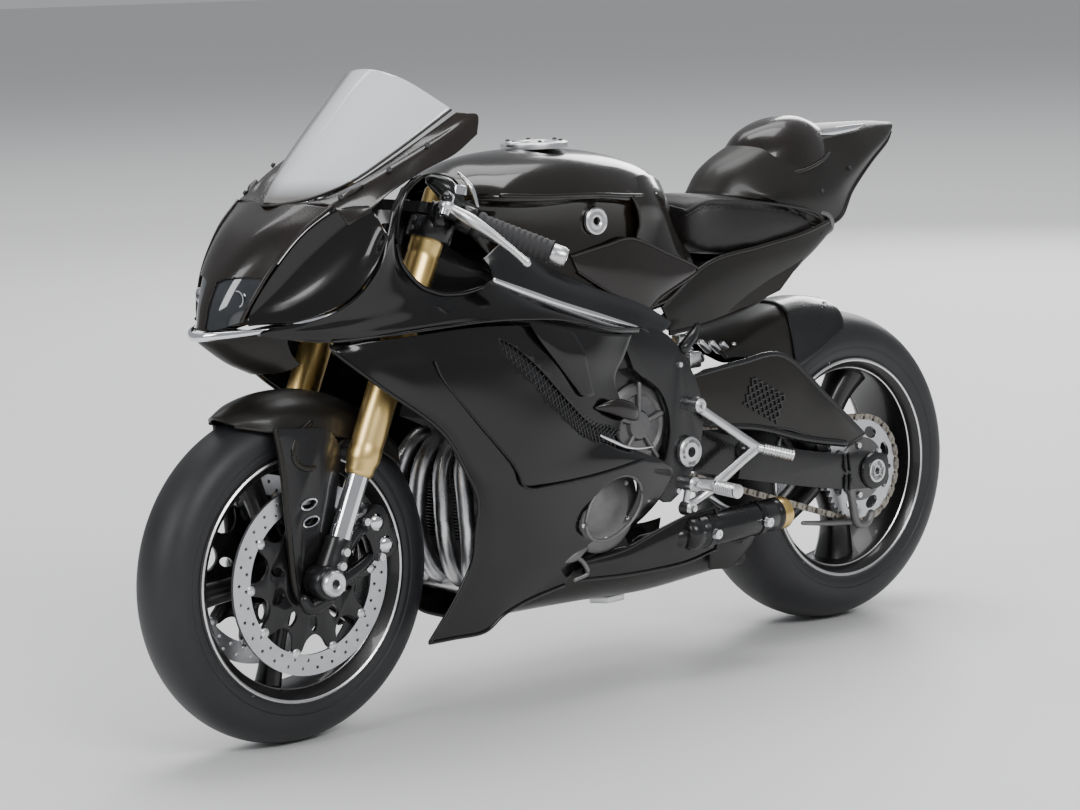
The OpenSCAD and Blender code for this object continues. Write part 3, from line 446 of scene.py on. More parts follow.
def joined(*parts):
    verts, faces = [], []
    for v, f in parts:
        start = len(verts)
        verts += list(v)
        faces += [tuple(i + start for i in face) for face in f]
    return verts, faces


def pair(data):
    return joined(data, mirrored(data))


def lathe(profile, place, axis=(0, 1, 0), steps=96):
    # profile holds (radius, distance along the axis); it is a loop unless it starts on the axis
    axis = Vector(axis).normalized()
    u = axis.orthogonal().normalized()
    v = axis.cross(u)
    n = len(profile)
    verts = []
    for s in range(steps):
        a = 2 * math.pi * s / steps
        side = u * math.cos(a) + v * math.sin(a)
        verts += [tuple(Vector(place) + axis * along + side * r) for r, along in profile]
    closed = profile[0][0] > 0
    faces = []
    for s in range(steps):
        t = (s + 1) % steps
        for i in range(n if closed else n - 1):
            j = (i + 1) % n
            faces.append((s * n + i, s * n + j, t * n + j, t * n + i))
    return verts, faces


def tube(path, radius, sides=16, flat=1.0, up=(0, 0, 1)):
    # flat is the thickness across the sweep's own sideways direction, against its height
    count = len(path)
    path = [Vector(p) for p in path]
    radii = radius if isinstance(radius, (list, tuple)) else [radius] * count
    verts, faces = [], []
    for i, p in enumerate(path):
        way = (path[min(i + 1, count - 1)] - path[max(i - 1, 0)]).normalized()
        side = way.cross(Vector(up)).normalized()
        high = side.cross(way)
        for k in range(sides):
            a = 2 * math.pi * k / sides
            verts.append(tuple(p + side * (math.cos(a) * radii[i] * flat) + high * (math.sin(a) * radii[i])))
    for i in range(count - 1):
        for k in range(sides):
            n = (k + 1) % sides
            faces.append((i * sides + k, i * sides + n, (i + 1) * sides + n, (i + 1) * sides + k))
    faces.append(tuple(range(sides)))
    faces.append(tuple((count - 1) * sides + k for k in range(sides)))
    return verts, faces


def roundEnds(path, radius, extra=3):
    # adds short steps at both ends so a tube closes as a dome
    path = [Vector(p) for p in path]
    first = (path[0] - path[1]).normalized()
    last = (path[-1] - path[-2]).normalized()
    turns = [math.pi / 2 * (k + 0.5) / (extra + 0.5) for k in range(extra, 0, -1)]
    head = [path[0] + first * radius[0] * math.sin(a) for a in turns]
    tail = [path[-1] + last * radius[-1] * math.sin(a) for a in reversed(turns)]
    radii = [radius[0] * math.cos(a) for a in turns] + list(radius)
    radii += [radius[-1] * math.cos(a) for a in reversed(turns)]
    return head + path + tail, radii


def bar(points, radius, k=5, sides=16, flat=1.0, up=(0, 0, 1)):
    # a rounded bar through a few points, with one radius or a radius for each point
    radii = list(radius) if isinstance(radius, (list, tuple)) else [radius] * len(points)
    smooth = refine([(*p, r) for p, r in zip(points, radii)], k)
    path, widths = roundEnds([p[:3] for p in smooth], [max(p[3], 0.2) for p in smooth])
    return tube(path, widths, sides, flat, up)


def plate(outline, low, high):
    # a side-view outline of (x, z), between two distances from the centre plane
    n = len(outline)
    verts = [(x, low, z) for x, z in outline] + [(x, high, z) for x, z in outline]
    faces = [tuple(range(n)), tuple(range(2 * n - 1, n - 1, -1))]
    faces += [(i, i + n, (i + 1) % n + n, (i + 1) % n) for i in range(n)]
    return verts, faces


def closedCurve(points, k=4):
    ring = [points[-1]] + list(points) + [points[0], points[1]]
    fine = refine(ring, k)
    return fine[k:-2 * k]


def oval(centre, a, b, turn=0, steps=32):
    t = math.radians(turn)
    found = []
    for s in range(steps):
        w = 2 * math.pi * s / steps
        p, q = a * math.cos(w), b * math.sin(w)
        found.append((centre[0] + p * math.cos(t) - q * math.sin(t),
                      centre[1] + p * math.sin(t) + q * math.cos(t)))
    return found


def box(low, high):
    (a, b, c), (d, e, f) = low, high
    verts = [(a, b, c), (d, b, c), (d, e, c), (a, e, c), (a, b, f), (d, b, f), (d, e, f), (a, e, f)]
    return verts, [(3, 2, 1, 0), (4, 5, 6, 7), (0, 1, 5, 4), (1, 2, 6, 5), (2, 3, 7, 6), (3, 0, 4, 7)]


def gearRing(teeth, root, tip, land=(-0.34, -0.12, 0.12, 0.34)):
    found = []
    for i in range(teeth):
        for part, r in zip(land, (root, tip, tip, root)):
            a = 2 * math.pi * (i + part) / teeth
            found.append((r * math.cos(a), r * math.sin(a)))
    return found


def shifted(outline, centre):
    return [(x + centre[0], z + centre[1]) for x, z in outline]


# geometry node helpers

def startTree(name, inputs):
    tree = bpy.data.node_groups.new(name, "GeometryNodeTree")
    tree.interface.new_socket("Geometry", in_out="INPUT", socket_type="NodeSocketGeometry")
    for label, kind, value in inputs:
        socket = tree.interface.new_socket(label, in_out="INPUT", socket_type=kind)
        if value is not None:
            socket.default_value = value
    tree.interface.new_socket("Geometry", in_out="OUTPUT", socket_type="NodeSocketGeometry")
    return tree, tree.nodes.new("NodeGroupInput"), tree.nodes.new("NodeGroupOutput")


def endTree(tree, given, result, socket):
    real = tree.nodes.new("GeometryNodeRealizeInstances")
    paint = tree.nodes.new("GeometryNodeSetMaterial")
    link(tree, socket, real.inputs[0])
    link(tree, real.outputs[0], paint.inputs["Geometry"])
    link(tree, given.outputs["Material"], paint.inputs["Material"])
    link(tree, paint.outputs[0], result.inputs[0])
    return tree


def grow(name, tree, values, base=None):
    mesh = base or bpy.data.meshes.new(name)
    piece = bpy.data.objects.new(name, mesh)
    bpy.context.scene.collection.objects.link(piece)
    mod = piece.modifiers.new(tree.name, "NODES")
    mod.node_group = tree
    for item in tree.interface.items_tree:
        if item.item_type == "SOCKET" and item.in_out == "INPUT" and item.name in values:
            mod[item.identifier] = values[item.name]
    return bake(piece)


def pointCloud(name, rows):
    # rows of place, direction and size, in millimetres
    mesh = bpy.data.meshes.new(name)
    mesh.from_pydata([tuple(c * mm for c in place) for place, _, _ in rows], [], [])
    aim = mesh.attributes.new("aim", "FLOAT_VECTOR", "POINT")
    for n, row in enumerate(rows):
        aim.data[n].vector = Vector(row[1]).normalized()
    size = mesh.attributes.new("size", "FLOAT", "POINT")
    for n, row in enumerate(rows):
        size.data[n].value = row[2]
    return mesh


def aimedInstances(tree, given, instance):
    # puts the instance on every point of the cloud, turned to its own direction and size
    aim = tree.nodes.new("GeometryNodeInputNamedAttribute")
    aim.data_type = "FLOAT_VECTOR"
    aim.inputs["Name"].default_value = "aim"
    size = tree.nodes.new("GeometryNodeInputNamedAttribute")
    size.data_type = "FLOAT"
    size.inputs["Name"].default_value = "size"
    turn = tree.nodes.new("FunctionNodeAlignRotationToVector")
    turn.axis = "Z"
    spread = tree.nodes.new("GeometryNodeInstanceOnPoints")
    link(tree, aim.outputs["Attribute"], turn.inputs["Vector"])
    link(tree, given.outputs["Geometry"], spread.inputs["Points"])
    link(tree, instance, spread.inputs["Instance"])
    link(tree, turn.outputs["Rotation"], spread.inputs["Rotation"])
    link(tree, size.outputs["Attribute"], spread.inputs["Scale"])
    return spread.outputs["Instances"]


def makeScrewTree():
    tree, given, result = startTree("screwHeads", [
        ("Head Radius", "NodeSocketFloat", 1.0 * mm), ("Head Height", "NodeSocketFloat", 0.8 * mm),
        ("Socket Radius", "NodeSocketFloat", 0.5 * mm), ("Material", "NodeSocketMaterial", None)])
    head = tree.nodes.new("GeometryNodeMeshCone")
    head.inputs["Vertices"].default_value = 20
    narrow = tree.nodes.new("ShaderNodeMath")
    narrow.operation = "MULTIPLY"
    narrow.inputs[1].default_value = 0.82
    link(tree, given.outputs["Head Radius"], narrow.inputs[0])
    link(tree, narrow.outputs[0], head.inputs["Radius Top"])
    link(tree, given.outputs["Head Radius"], head.inputs["Radius Bottom"])
    link(tree, given.outputs["Head Height"], head.inputs["Depth"])
    socket = tree.nodes.new("GeometryNodeMeshCylinder")
    socket.inputs["Vertices"].default_value = 6
    link(tree, given.outputs["Socket Radius"], socket.inputs["Radius"])
    link(tree, given.outputs["Head Height"], socket.inputs["Depth"])
    lift = tree.nodes.new("GeometryNodeTransform")
    rise = tree.nodes.new("ShaderNodeCombineXYZ")
    half = tree.nodes.new("ShaderNodeMath")
    half.operation = "MULTIPLY"
    half.inputs[1].default_value = 1.35
    link(tree, given.outputs["Head Height"], half.inputs[0])
    link(tree, half.outputs[0], rise.inputs["Z"])
    link(tree, socket.outputs["Mesh"], lift.inputs["Geometry"])
    link(tree, rise.outputs[0], lift.inputs["Translation"])
    sink = tree.nodes.new("GeometryNodeMeshBoolean")
    sink.operation = "DIFFERENCE"
    sink.solver = "EXACT"
    link(tree, head.outputs["Mesh"], sink.inputs[0])
    link(tree, lift.outputs["Geometry"], sink.inputs[1])
    return endTree(tree, given, result, aimedInstances(tree, given, sink.outputs["Mesh"]))


screwTree = makeScrewTree()
screwSets = {}


def screw(body, finishName, place, way, size=1.0):
    screwSets.setdefault((body, finishName), []).append((place, way, size))


def screwPair(body, finishName, place, way, size=1.0):
    screw(body, finishName, place, way, size)
    screw(body, finishName, (place[0], -place[1], place[2]), (way[0], -way[1], way[2]), size)


print("helpers ready")


# body panels; each grid runs along the panel, and its rows start at the centre plane or upper edge

noseGrid = [
    [[171.3, 0, 148.3], [169, 7, 149], [163, 12.4, 151]],
    [[168.8, 0, 158], [166.6, 8, 158], [161, 15, 157]],
    [[163, 0, 169], [161, 10, 169.5], [155, 19, 168]],
    [[153.2, 0, 179.8], [151, 12, 180.8], [144.5, 23, 180.5]],
    [[140.2, 0, 188.4], [136.5, 14, 189.8], [133.5, 26.6, 188.8]]
]
wingGrid = [
    [[140.2, 1, 188.4], [137, 14, 189.7], [133.5, 26.6, 188.8], [129, 30, 182]],
    [[132.7, 14, 190], [129, 22, 191.5], [125.5, 28.5, 193], [122, 33.5, 187]],
    [[121.4, 22, 195], [119, 27, 196.8], [116.5, 31, 197.5], [114, 35.5, 193]],
    [[106.5, 26, 203], [104, 30, 203.8], [101.5, 33.5, 204.2], [100, 36, 199]],
    [[90.6, 29, 211.8], [88, 32, 211.2], [86, 34.5, 210.8], [86, 36, 203.5]],
    [[80, 31, 218], [77, 33, 217.5], [73, 34.5, 216.5], [74.5, 35.5, 210]]
]
recessGrid = [
    [[162, 14.4, 151.8], [162.2, 14.8, 151.4], [162.4, 15.2, 151], [162.6, 15.5, 150.6]],
    [[160, 16, 157], [158.5, 16.5, 155], [158, 18, 152.8], [157.4, 20.4, 151]],
    [[154, 20, 167.5], [150.5, 20, 163], [148.8, 22.5, 156.5], [148.5, 26.5, 151.2]],
    [[143.5, 24, 179.8], [138.5, 24.5, 173.5], [135.5, 28.5, 164], [135, 34.5, 157]],
    [[132, 28.2, 187.5], [127.5, 29.5, 182], [125.5, 33, 173], [126, 38.5, 167]],
    [[122.5, 33, 188.5], [120.5, 34, 185.5], [120, 37, 181], [121, 40.4, 178.4]]
]
sideGrid = [
    [[101, 35, 197], [104, 36, 196.5], [107, 37, 195.5], [111, 38, 194]],
    [[109, 36, 191.5], [112, 38, 190], [114.5, 39.5, 188.5], [117.5, 40.5, 187]],
    [[113.5, 36.5, 181], [116, 38.8, 179.5], [118.4, 40, 178], [120.2, 40.8, 176.8]],
    [[113, 37, 169], [117, 39, 168], [121.5, 39.8, 166.8], [125.4, 39.4, 165.5]],
    [[106, 37.6, 160.5], [116, 39.6, 158.5], [125.5, 38.4, 156.8], [134.4, 35, 155.6]],
    [[100, 38, 157.4], [116, 39.5, 154], [132, 35.5, 151.5], [148, 27.5, 149.6]],
    [[96, 38.2, 156.2], [116, 39.5, 150.5], [139, 32.5, 147.5], [159.5, 18, 146.8]],
    [[93, 38.4, 155.8], [108, 40, 149], [124, 37.8, 145.5], [139.2, 31, 143]],
    [[86, 38.4, 155.6], [96, 40.6, 150.5], [105, 41, 146.5], [114.9, 38.8, 144]],
    [[77, 37.6, 156.6], [79, 40.6, 152.5], [80.6, 42.4, 148.6], [81.9, 42.8, 145]],
    [[69.6, 36, 158.2], [66, 39.6, 152.5], [63, 42, 147.8], [60, 42.8, 143.8]],
    [[53, 35, 152.2], [50, 38.6, 148.5], [47, 41.4, 145], [44.1, 42.6, 142]],
    [[36.5, 34.6, 146.2], [33, 37.8, 143.2], [29.5, 40.4, 140.4], [26, 41.6, 138]],
    [[16, 33.6, 139.6], [15, 35.8, 138], [14, 38.2, 136.6], [12.7, 40, 135.4]],
    [[-2, 33, 134], [-1.8, 33.8, 134], [-1.6, 34.8, 134], [-1.3, 35.6, 134]]
]
fairingGrid = [
    [[138, 29, 141.6], [114.9, 37, 142.4], [81.9, 40.8, 143.2], [44.1, 41, 140], [22, 39.6, 135.2],
        [2, 35, 132.2]],
    [[136.6, 31.4, 138.3], [114, 37.6, 134], [81, 42, 133], [48, 42.6, 130], [28, 41, 127],
        [8, 36.8, 125]],
    [[120.8, 36, 125.2], [106, 39.5, 122], [78, 43, 119], [50, 43, 118], [30, 41, 117.5],
        [14, 38, 117.1]],
    [[98.5, 38, 108.8], [90, 41, 107], [70, 43.5, 105], [48, 43.5, 105], [28, 41, 105],
        [10, 38, 104]],
    [[87.7, 38, 93.3], [82, 41, 92.5], [64, 43.5, 92.5], [44, 43, 93], [28, 41.5, 94.5],
        [13, 39.5, 94]],
    [[81.3, 37, 81.6], [76, 40, 82.5], [58, 42.5, 83.5], [32, 42, 83.8], [6, 40, 85],
        [-12, 36.4, 83]],
    [[80.5, 34.5, 70], [74, 37, 70], [54, 39, 70], [28, 38, 70], [2, 36.6, 72],
        [-16.7, 34.6, 75.4]],
    [[81.2, 33, 59.5], [74, 34.5, 58], [53, 35, 56.5], [30, 34.4, 57], [12, 33.8, 59.5],
        [-2.5, 33, 62.5]],
    [[87.6, 30, 45.7], [78, 30.5, 44.5], [64, 30.5, 44], [50, 30.2, 45], [38, 30.2, 47],
        [25, 30.6, 50]],
    [[96.6, 26, 31.1], [85, 26, 30.9], [71, 26.2, 30.9], [62, 27, 36], [50, 27.6, 39.6],
        [34, 28.6, 42.5]]
]
bellyGrid = [
    [[68, 0, 32], [68, 13, 32.6], [66, 22, 35.5], [64, 25, 42]],
    [[38, 0, 31.6], [38, 14, 32.2], [38, 23.5, 36.8], [38, 26.8, 44]],
    [[10, 0, 30.8], [10, 15, 31.6], [10, 25.5, 39], [10, 30, 52]],
    [[-20, 0, 29.8], [-20, 15, 30.4], [-20, 26, 39.4], [-20, 30, 47.2]],
    [[-46, 0, 31.4], [-46, 15, 31.8], [-48, 25, 38.4], [-48, 28.6, 46]],
    [[-58, 0, 34], [-62, 15, 33.4], [-66, 24, 35.6], [-60, 28, 44.5]]
]
screenGrid = [
    [[140.4, 0, 189.8], [139.6, 3, 189.6], [137.8, 6, 189.8]],
    [[131.5, 0, 198.4], [131.2, 8, 196.4], [131, 13.5, 191.6]],
    [[121.5, 0, 208.4], [121.2, 12, 205], [120, 21, 196.6]],
    [[112, 0, 217.8], [110.8, 14.5, 213.8], [106, 25, 204.6]],
    [[103, 0, 226.6], [100.8, 16.5, 222], [91.4, 28, 213.4]],
    [[95.2, 0, 233.6], [92.4, 17.5, 230], [81.5, 29.8, 219.4]]
]
tankGrid = [
    [[64, 0, 194.8], [64.4, 11, 192.8], [66.5, 16.4, 188], [66.5, 17, 184], [66, 16.6, 180], [65, 16, 175]],
    [[53, 0, 199.2], [54, 18, 195], [57, 27, 187], [56, 24, 181.6], [55, 24, 171], [54, 24.4, 160]],
    [[38, 0, 201.2], [38, 21, 196.6], [39, 30, 185.6], [38, 25.4, 180.6], [38, 25, 168], [38, 26, 153]],
    [[16, 0, 201.4], [16, 22, 196.4], [16, 30.6, 184.6], [16, 26, 180.6], [16, 25.6, 164], [16, 26.6, 146]],
    [[-6, 0, 199], [-6, 20, 194], [-6, 28, 182.6], [-6, 25, 177], [-6, 25, 160], [-6, 26, 141]],
    [[-24, 0, 195], [-24, 15, 190.5], [-24, 22.6, 181.5], [-25, 21.5, 169], [-25, 23.6, 154],
        [-24, 24.2, 141]],
    [[-35, 0, 190.6], [-35, 10, 187.2], [-36, 15, 178.6], [-37, 18, 166.5], [-37, 22, 155], [-35, 23.4, 146]],
    [[-42, 0, 184.4], [-41.6, 7, 180.4], [-43, 10, 171.5], [-45, 14, 163], [-46, 18.6, 156.6],
        [-44.6, 21.6, 152]]
]
tailGrid = [
    [[-78, 0, 189], [-80, 10, 187], [-85.6, 17, 180], [-92, 21, 174.8], [-113, 19.6, 169.6]],
    [[-95, 0, 197], [-97, 11, 194.4], [-102, 18, 185], [-108, 22, 175.6], [-122, 19, 166.6]],
    [[-112, 0, 201.6], [-114, 11, 198], [-118, 17, 188], [-123, 20, 177], [-133, 17, 166.6]],
    [[-132, 0, 202], [-134, 10, 198.4], [-137, 14, 190], [-140.4, 15.5, 182], [-144, 13, 174.6]],
    [[-152, 0, 201.8], [-153, 8, 198.8], [-155, 11, 193], [-157, 11.6, 188.6], [-159, 9.6, 184.8]],
    [[-170, 0, 201.2], [-171, 4.4, 199.6], [-172, 6, 196.8], [-173, 6.2, 194.2], [-174, 5, 192]],
    [[-182.6, 0, 200], [-182.2, 1.6, 199.2], [-181.6, 2.2, 198.2], [-181, 2.4, 197.2],
        [-180.4, 2, 196.2]]
]
huggerGrid = [
    [[-134, 0, 131], [-133.6, 8, 130], [-132.6, 15, 126.5], [-131, 18.6, 121]],
    [[-122, 0, 132.6], [-121, 9, 131.5], [-119, 16.5, 126], [-116, 19.4, 113]],
    [[-106, 0, 132], [-104, 10, 130.5], [-101, 17, 124], [-102, 19.4, 107]],
    [[-90, 0, 128.8], [-88, 10, 127.5], [-86, 17, 121.5], [-88, 19.4, 112]],
    [[-74, 0, 124], [-73, 10, 123], [-71, 17, 119.5], [-72, 19.4, 115]],
    [[-65, 0, 120.6], [-64.4, 10, 120], [-63.4, 16, 118], [-64, 19, 115.6]]
]
fenderGrid = [
    [[168, 0, 118.4], [167.2, 3, 117.6], [165.6, 6, 116.4], [163.6, 8, 115]],
    [[158, 0, 122.4], [157.4, 7, 120.8], [155.4, 12, 117.4], [153.4, 14.4, 112.8]],
    [[146, 0, 124.6], [145.6, 8, 122.8], [144.4, 13.6, 118.4], [142.4, 15.4, 111]],
    [[132, 0, 124.2], [131.8, 8, 122.4], [131, 13.8, 117.8], [130, 15.6, 109]],
    [[118, 0, 120.6], [118.2, 8, 118.8], [118.2, 13.8, 114.2], [118.4, 15.6, 106]],
    [[105, 0, 113.8], [105.6, 8, 112.2], [106.4, 13.6, 108], [107.6, 15.4, 101]],
    [[94, 0, 104], [95, 7, 102.8], [96.4, 12, 99.6], [98.2, 14.6, 95]]
]

print("panel grids ready")


# nose cowl, wings, recess and headlights

noseCowl = {
    "wall": 1.2,
    "lampWindow": [(1.6, 149.4), (10.6, 150.2), (15, 154), (19.4, 162.4), (18.6, 165.6), (2.6, 164.4)],
    "lampReach": (150, 182),
    "lensSink": 0.9,
    "notch": (125.5, 28.6, 193.4),
    "lip": [(173.4, 0, 146.2), (171.6, 5.4, 146.6), (166.4, 11.6, 147.2), (158, 17.6, 148),
            (150, 22.6, 148.8)],
    "lipRadius": [1.5, 1.45, 1.2, 0.9, 0.5],
    # chrome sliver along the lower nose edge, placed to give a highlight there: painted highlight
    "highlightSliver": [(150, 24.4, 150.4), (144, 28.4, 150.6), (138, 32, 152.4), (132.4, 34.6, 155.4)],
    "highlightSliverRadius": [0.4, 1.5, 1.3, 0.4],
}


def lampPrism(side, grow=0.0):
    outline = noseCowl["lampWindow"]
    cy = sum(p[0] for p in outline) / len(outline)
    cz = sum(p[1] for p in outline) / len(outline)
    points = [(side * (cy + (y - cy) * (1 + grow)), cz + (z - cz) * (1 + grow)) for y, z in outline]
    points = closedCurve(points, 4)
    near, far = noseCowl["lampReach"]
    n = len(points)
    verts = [(near, y, z) for y, z in points] + [(far, y, z) for y, z in points]
    faces = [tuple(range(n)), tuple(range(2 * n - 1, n - 1, -1))]
    faces += [(i, i + n, (i + 1) % n + n, (i + 1) % n) for i in range(n)]
    return verts, faces


def makeNose(spec):
    nose = shape("noseCowl", shell(noseGrid, spec["wall"], -1, whole=True, steps=(10, 8)))
    cutAway(nose, lampPrism(1), lampPrism(-1))
    # nose cowl takes the brown-tinted gloss: painted brown reflection
    settle(rounded(nose, 0.25), "brownReflectionGloss", "chassis", ["upper_cowl"])
    for side, name in ((1, "headlightLeft"), (-1, "headlightRight")):
        lens = shape(name, shell(noseGrid, 0.8, -1, whole=True, steps=(10, 8), lift=-spec["lensSink"]))
        tool = shape("lensTool", lampPrism(side, 0.06))
        mod = lens.modifiers.new("fit", "BOOLEAN")
        mod.operation = "INTERSECT"
        mod.solver = "EXACT"
        mod.object = tool
        bake(lens)
        bpy.data.objects.remove(tool)
        settle(lens, "lampGlass", "chassis", ["headlights"])
    bowls = []
    for side in (1, -1):
        for y, z in ((5.6, 155.2), (10.6, 159)):
            bowls.append(lathe([(0, 0), (1.2, 0.2), (2.1, 1.2), (2.5, 2.8), (2.9, 2.8), (2.9, 2.2),
                                (2.4, 0.6),
                                (1.3, -0.5), (0, -0.6)], (163.4 - z * 0.02, side * y, z),
                                (1, 0.1 * side, 0), 32))
    settle(shape("lampBowls", joined(*bowls)), "polishedChrome", "chassis")
    wings = shape("cowlWings", pair(shell(wingGrid, spec["wall"], -1, steps=(9, 7))))
    settle(rounded(wings, 0.25), "brownReflectionGloss", "chassis")
    recess = shape("cowlRecess", pair(shell(recessGrid, spec["wall"], -1, steps=(8, 8))))
    settle(rounded(recess, 0.25), "fairingGloss", "chassis")
    lip = spec["lip"]
    path = [(x, -y, z) for x, y, z in reversed(lip[1:])] + lip
    widths = list(reversed(spec["lipRadius"][1:])) + spec["lipRadius"]
    settle(shape("noseLip", bar(path, widths, flat=0.6, sides=20)), "polishedChrome", "chassis")
    # chrome sliver that stands in for a highlight on the cowl edge: painted highlight
    highlightSliver = bar(spec["highlightSliver"], spec["highlightSliverRadius"], flat=0.45, sides=16)
    settle(shape("cowlPaintedHighlight", pair(highlightSliver)), "polishedChrome", "chassis")
    rim = bar([(133.5, 26.6, 188.9), (144.5, 23, 180.7), (155, 19, 168.2), (161, 15, 157.2),
               (163, 12.6, 151.4)],
              0.7, flat=0.8)
    settle(shape("cowlRidge", pair(rim)), "brownReflectionGloss", "chassis")
    x, y, z = spec["notch"]
    notch = bar([(x + 2.4, y - 1.4, z - 1.6), (x, y, z), (x - 3, y + 1.2, z + 1.8)], [0.5, 0.9, 0.5],
                flat=1.4)
    settle(shape("cowlNotch", pair(notch)), "satinPlastic", "chassis")
    for place in ((112.4, 32.4, 199.9), (96.4, 34, 207.4), (129.5, 26.8, 191.4)):
        screwPair("chassis", "darkPlastic", place, (0.35, 0.75, 0.55), 0.9)


makeNose(noseCowl)


# windscreen

windscreen = {"wall": 0.9, "edgeRadius": 0.5}


def makeScreen(spec):
    screen = shape("screenShell", shell(screenGrid, spec["wall"], -1, whole=True, steps=(10, 10)))
    settle(rounded(screen, 0.2), "screenTint", "chassis", ["windscreen"])
    edge = [row[-1] for row in screenGrid]
    path = [(x, -y, z) for x, y, z in reversed(edge)] + [(140.8, 0, 189.2)] + edge
    seal = bar([(x + 0.4, y * 1.01, z - 0.6) for x, y, z in path], spec["edgeRadius"], flat=1.4)
    settle(shape("screenSeal", seal), "satinPlastic", "chassis")


makeScreen(windscreen)


# chin under the nose

chin = {
    "rows": [
        [(172.6, 0, 145.4), (168.5, 6.4, 145.6), (160, 13, 146), (149, 20, 146.8)],
        [(170.4, 0, 143), (166, 6, 142.8), (157.5, 12, 142.6), (148, 18, 143)],
        [(160.5, 0, 136), (157.4, 6, 136.2), (151.5, 12.4, 136.6), (145, 16.5, 138)],
        [(150, 0, 131), (148.4, 6, 131.4), (145.6, 12.8, 132.4), (141, 15.6, 134.4)],
    ],
    "ribs": 7,
}


def makeChin(spec):
    tray = shape("chinTray", shell(spec["rows"], 1.0, 1, whole=True, steps=(8, 6)))
    settle(rounded(tray, 0.2), "satinPlastic", "chassis", ["nose_chin"])
    ribs = []
    for n in range(spec["ribs"]):
        y = -12 + 24 * n / (spec["ribs"] - 1)
        ribs.append(bar([(163 - abs(y) * 0.6, y, 144), (155 - abs(y) * 0.3, y, 139.6),
                         (146, y * 0.9, 138.4)], 0.6,
                        k=3, sides=10))
    ribs.append(bar([(157, -14, 146.6), (160.4, 0, 147.4), (157, 14, 146.6)], 1.0, k=5, sides=12))
    ribs.append(bar([(146, -13, 142), (147, 0, 142.6), (146, 13, 142)], 1.1, k=5, sides=12))
    settle(shape("chinStays", joined(*ribs)), "castMetal", "chassis")


makeChin(chin)
print("nose ready")


# side panels and fairings

sideFairing = {
    "wall": 1.2,
    "vent": [(73.4, 138), (66, 134.6), (54, 124.6), (42, 112.8), (30, 103), (18, 98.4), (15.6, 94.4),
             (28, 96.4),
             (38.4, 101.4), (50, 112), (61, 123.2), (70.4, 131.6)],
    "ventWire": 0.28,
    "oval": {"centre": (17.5, 70), "long": 15.5, "short": 10.2, "turn": 152},
    "winglet": [(27, 41.4, 108.4), (18, 42.6, 107.8), (8.4, 41.6, 104.4), (4.6, 38.8, 101.6)],
    "wingletRadius": [0.5, 3.1, 3.0, 0.6],
}


def makeSide(spec):
    panels = shape("sidePanels", pair(shell(sideGrid, spec["wall"], -1, steps=(7, 7))))
    settle(rounded(panels, 0.25), "fairingGloss", "chassis", ["side_panels"])
    vent = closedCurve(spec["vent"], 3)
    hole = spec["oval"]
    ring = oval(hole["centre"], hole["long"], hole["short"], hole["turn"], 40)
    fairings = shape("sideFairings", pair(shell(fairingGrid, spec["wall"], 1, steps=(8, 10))))
    cutAway(fairings, plate(vent, 30, 50), plate(vent, -50, -30),
            plate(ring, 30, 50), plate(ring, -50, -30))
    settle(rounded(fairings, 0.3), "fairingGloss", "chassis", ["side_fairings"])
    # bezel of the round opening that the fork stands in
    bezel = refine([row[0] for row in sideGrid[:10]], 4)
    bezel = [(x, y + 0.4, z) for x, y, z in bezel]
    settle(shape("forkOpeningBezel", pair(bar(bezel, 0.8, k=1, sides=12))), "fairingGloss", "chassis")
    # the layer line where the side panel laps over the fairing
    seam = [(x - 0.2, y + 0.5, z + 0.4) for x, y, z in [row[3] for row in sideGrid[7:]]]
    settle(shape("fairingSeam", pair(bar(seam, 0.55, k=4, sides=10, flat=1.3))), "fairingGloss", "chassis")
    crease = [(101.5, 40.2, 133), (98, 40.6, 126), (86, 42.2, 111.4), (70, 43.7, 93.4), (64.3, 43.6, 84.4),
              (52, 43.2, 83.4), (26.7, 42.1, 84), (2, 40.2, 86.2)]
    settle(shape("fairingCrease", pair(bar(crease, 0.5, k=5, sides=10, flat=1.6))), "fairingGloss", "chassis")
    edge = [row[0] for row in fairingGrid]
    settle(shape("fairingEdge", pair(bar(edge, 0.75, k=6, sides=12))), "fairingGloss", "chassis")
    lower = fairingGrid[-1]
    settle(shape("fairingHem", pair(bar(lower, 0.7, k=6, sides=12))), "fairingGloss", "chassis")
    fin = bar(spec["winglet"], spec["wingletRadius"], flat=0.55, sides=20, k=6)
    settle(shape("fairingWinglet", pair(fin)), "brownReflectionGloss", "chassis")
    trim = bar([(26, 42.4, 98.2), (19.6, 42.4, 95.2), (13.4, 41.4, 92.6), (6, 40.4, 90.8), (-4, 38.6, 90)],
               [0.5, 0.7, 0.6, 0.5, 0.3], k=5, sides=12)
    settle(shape("fairingTrim", pair(trim)), "polishedChrome", "chassis")
    # folded triangle above the vent
    fold = [
        [(60, 43.6, 143), (49, 43.2, 140.6), (38, 42.4, 137.6)],
        [(56, 44.2, 136.4), (46, 44.6, 131.6), (34, 44, 129.4)],
        [(47, 43.6, 126.6), (41.4, 44, 123), (32, 43.4, 122.6)],
        [(36, 43.2, 114.4), (33, 43.4, 113.2), (29, 42.8, 113.4)],
    ]
    settle(rounded(shape("fairingFold", pair(shell(fold, 0.8, 1, steps=(7, 7)))), 0.2), "fairingGloss",
           "chassis")


makeSide(sideFairing)


def makeWireTree():
    tree, given, result = startTree("crossedWires", [
        ("Wire Radius", "NodeSocketFloat", 0.3 * mm), ("Wire Length", "NodeSocketFloat", 8 * mm),
        ("Material", "NodeSocketMaterial", None)])
    wire = tree.nodes.new("GeometryNodeMeshCylinder")
    wire.inputs["Vertices"].default_value = 8
    link(tree, given.outputs["Wire Radius"], wire.inputs["Radius"])
    link(tree, given.outputs["Wire Length"], wire.inputs["Depth"])
    return endTree(tree, given, result, aimedInstances(tree, given, wire.outputs["Mesh"]))


wireTree = makeWireTree()


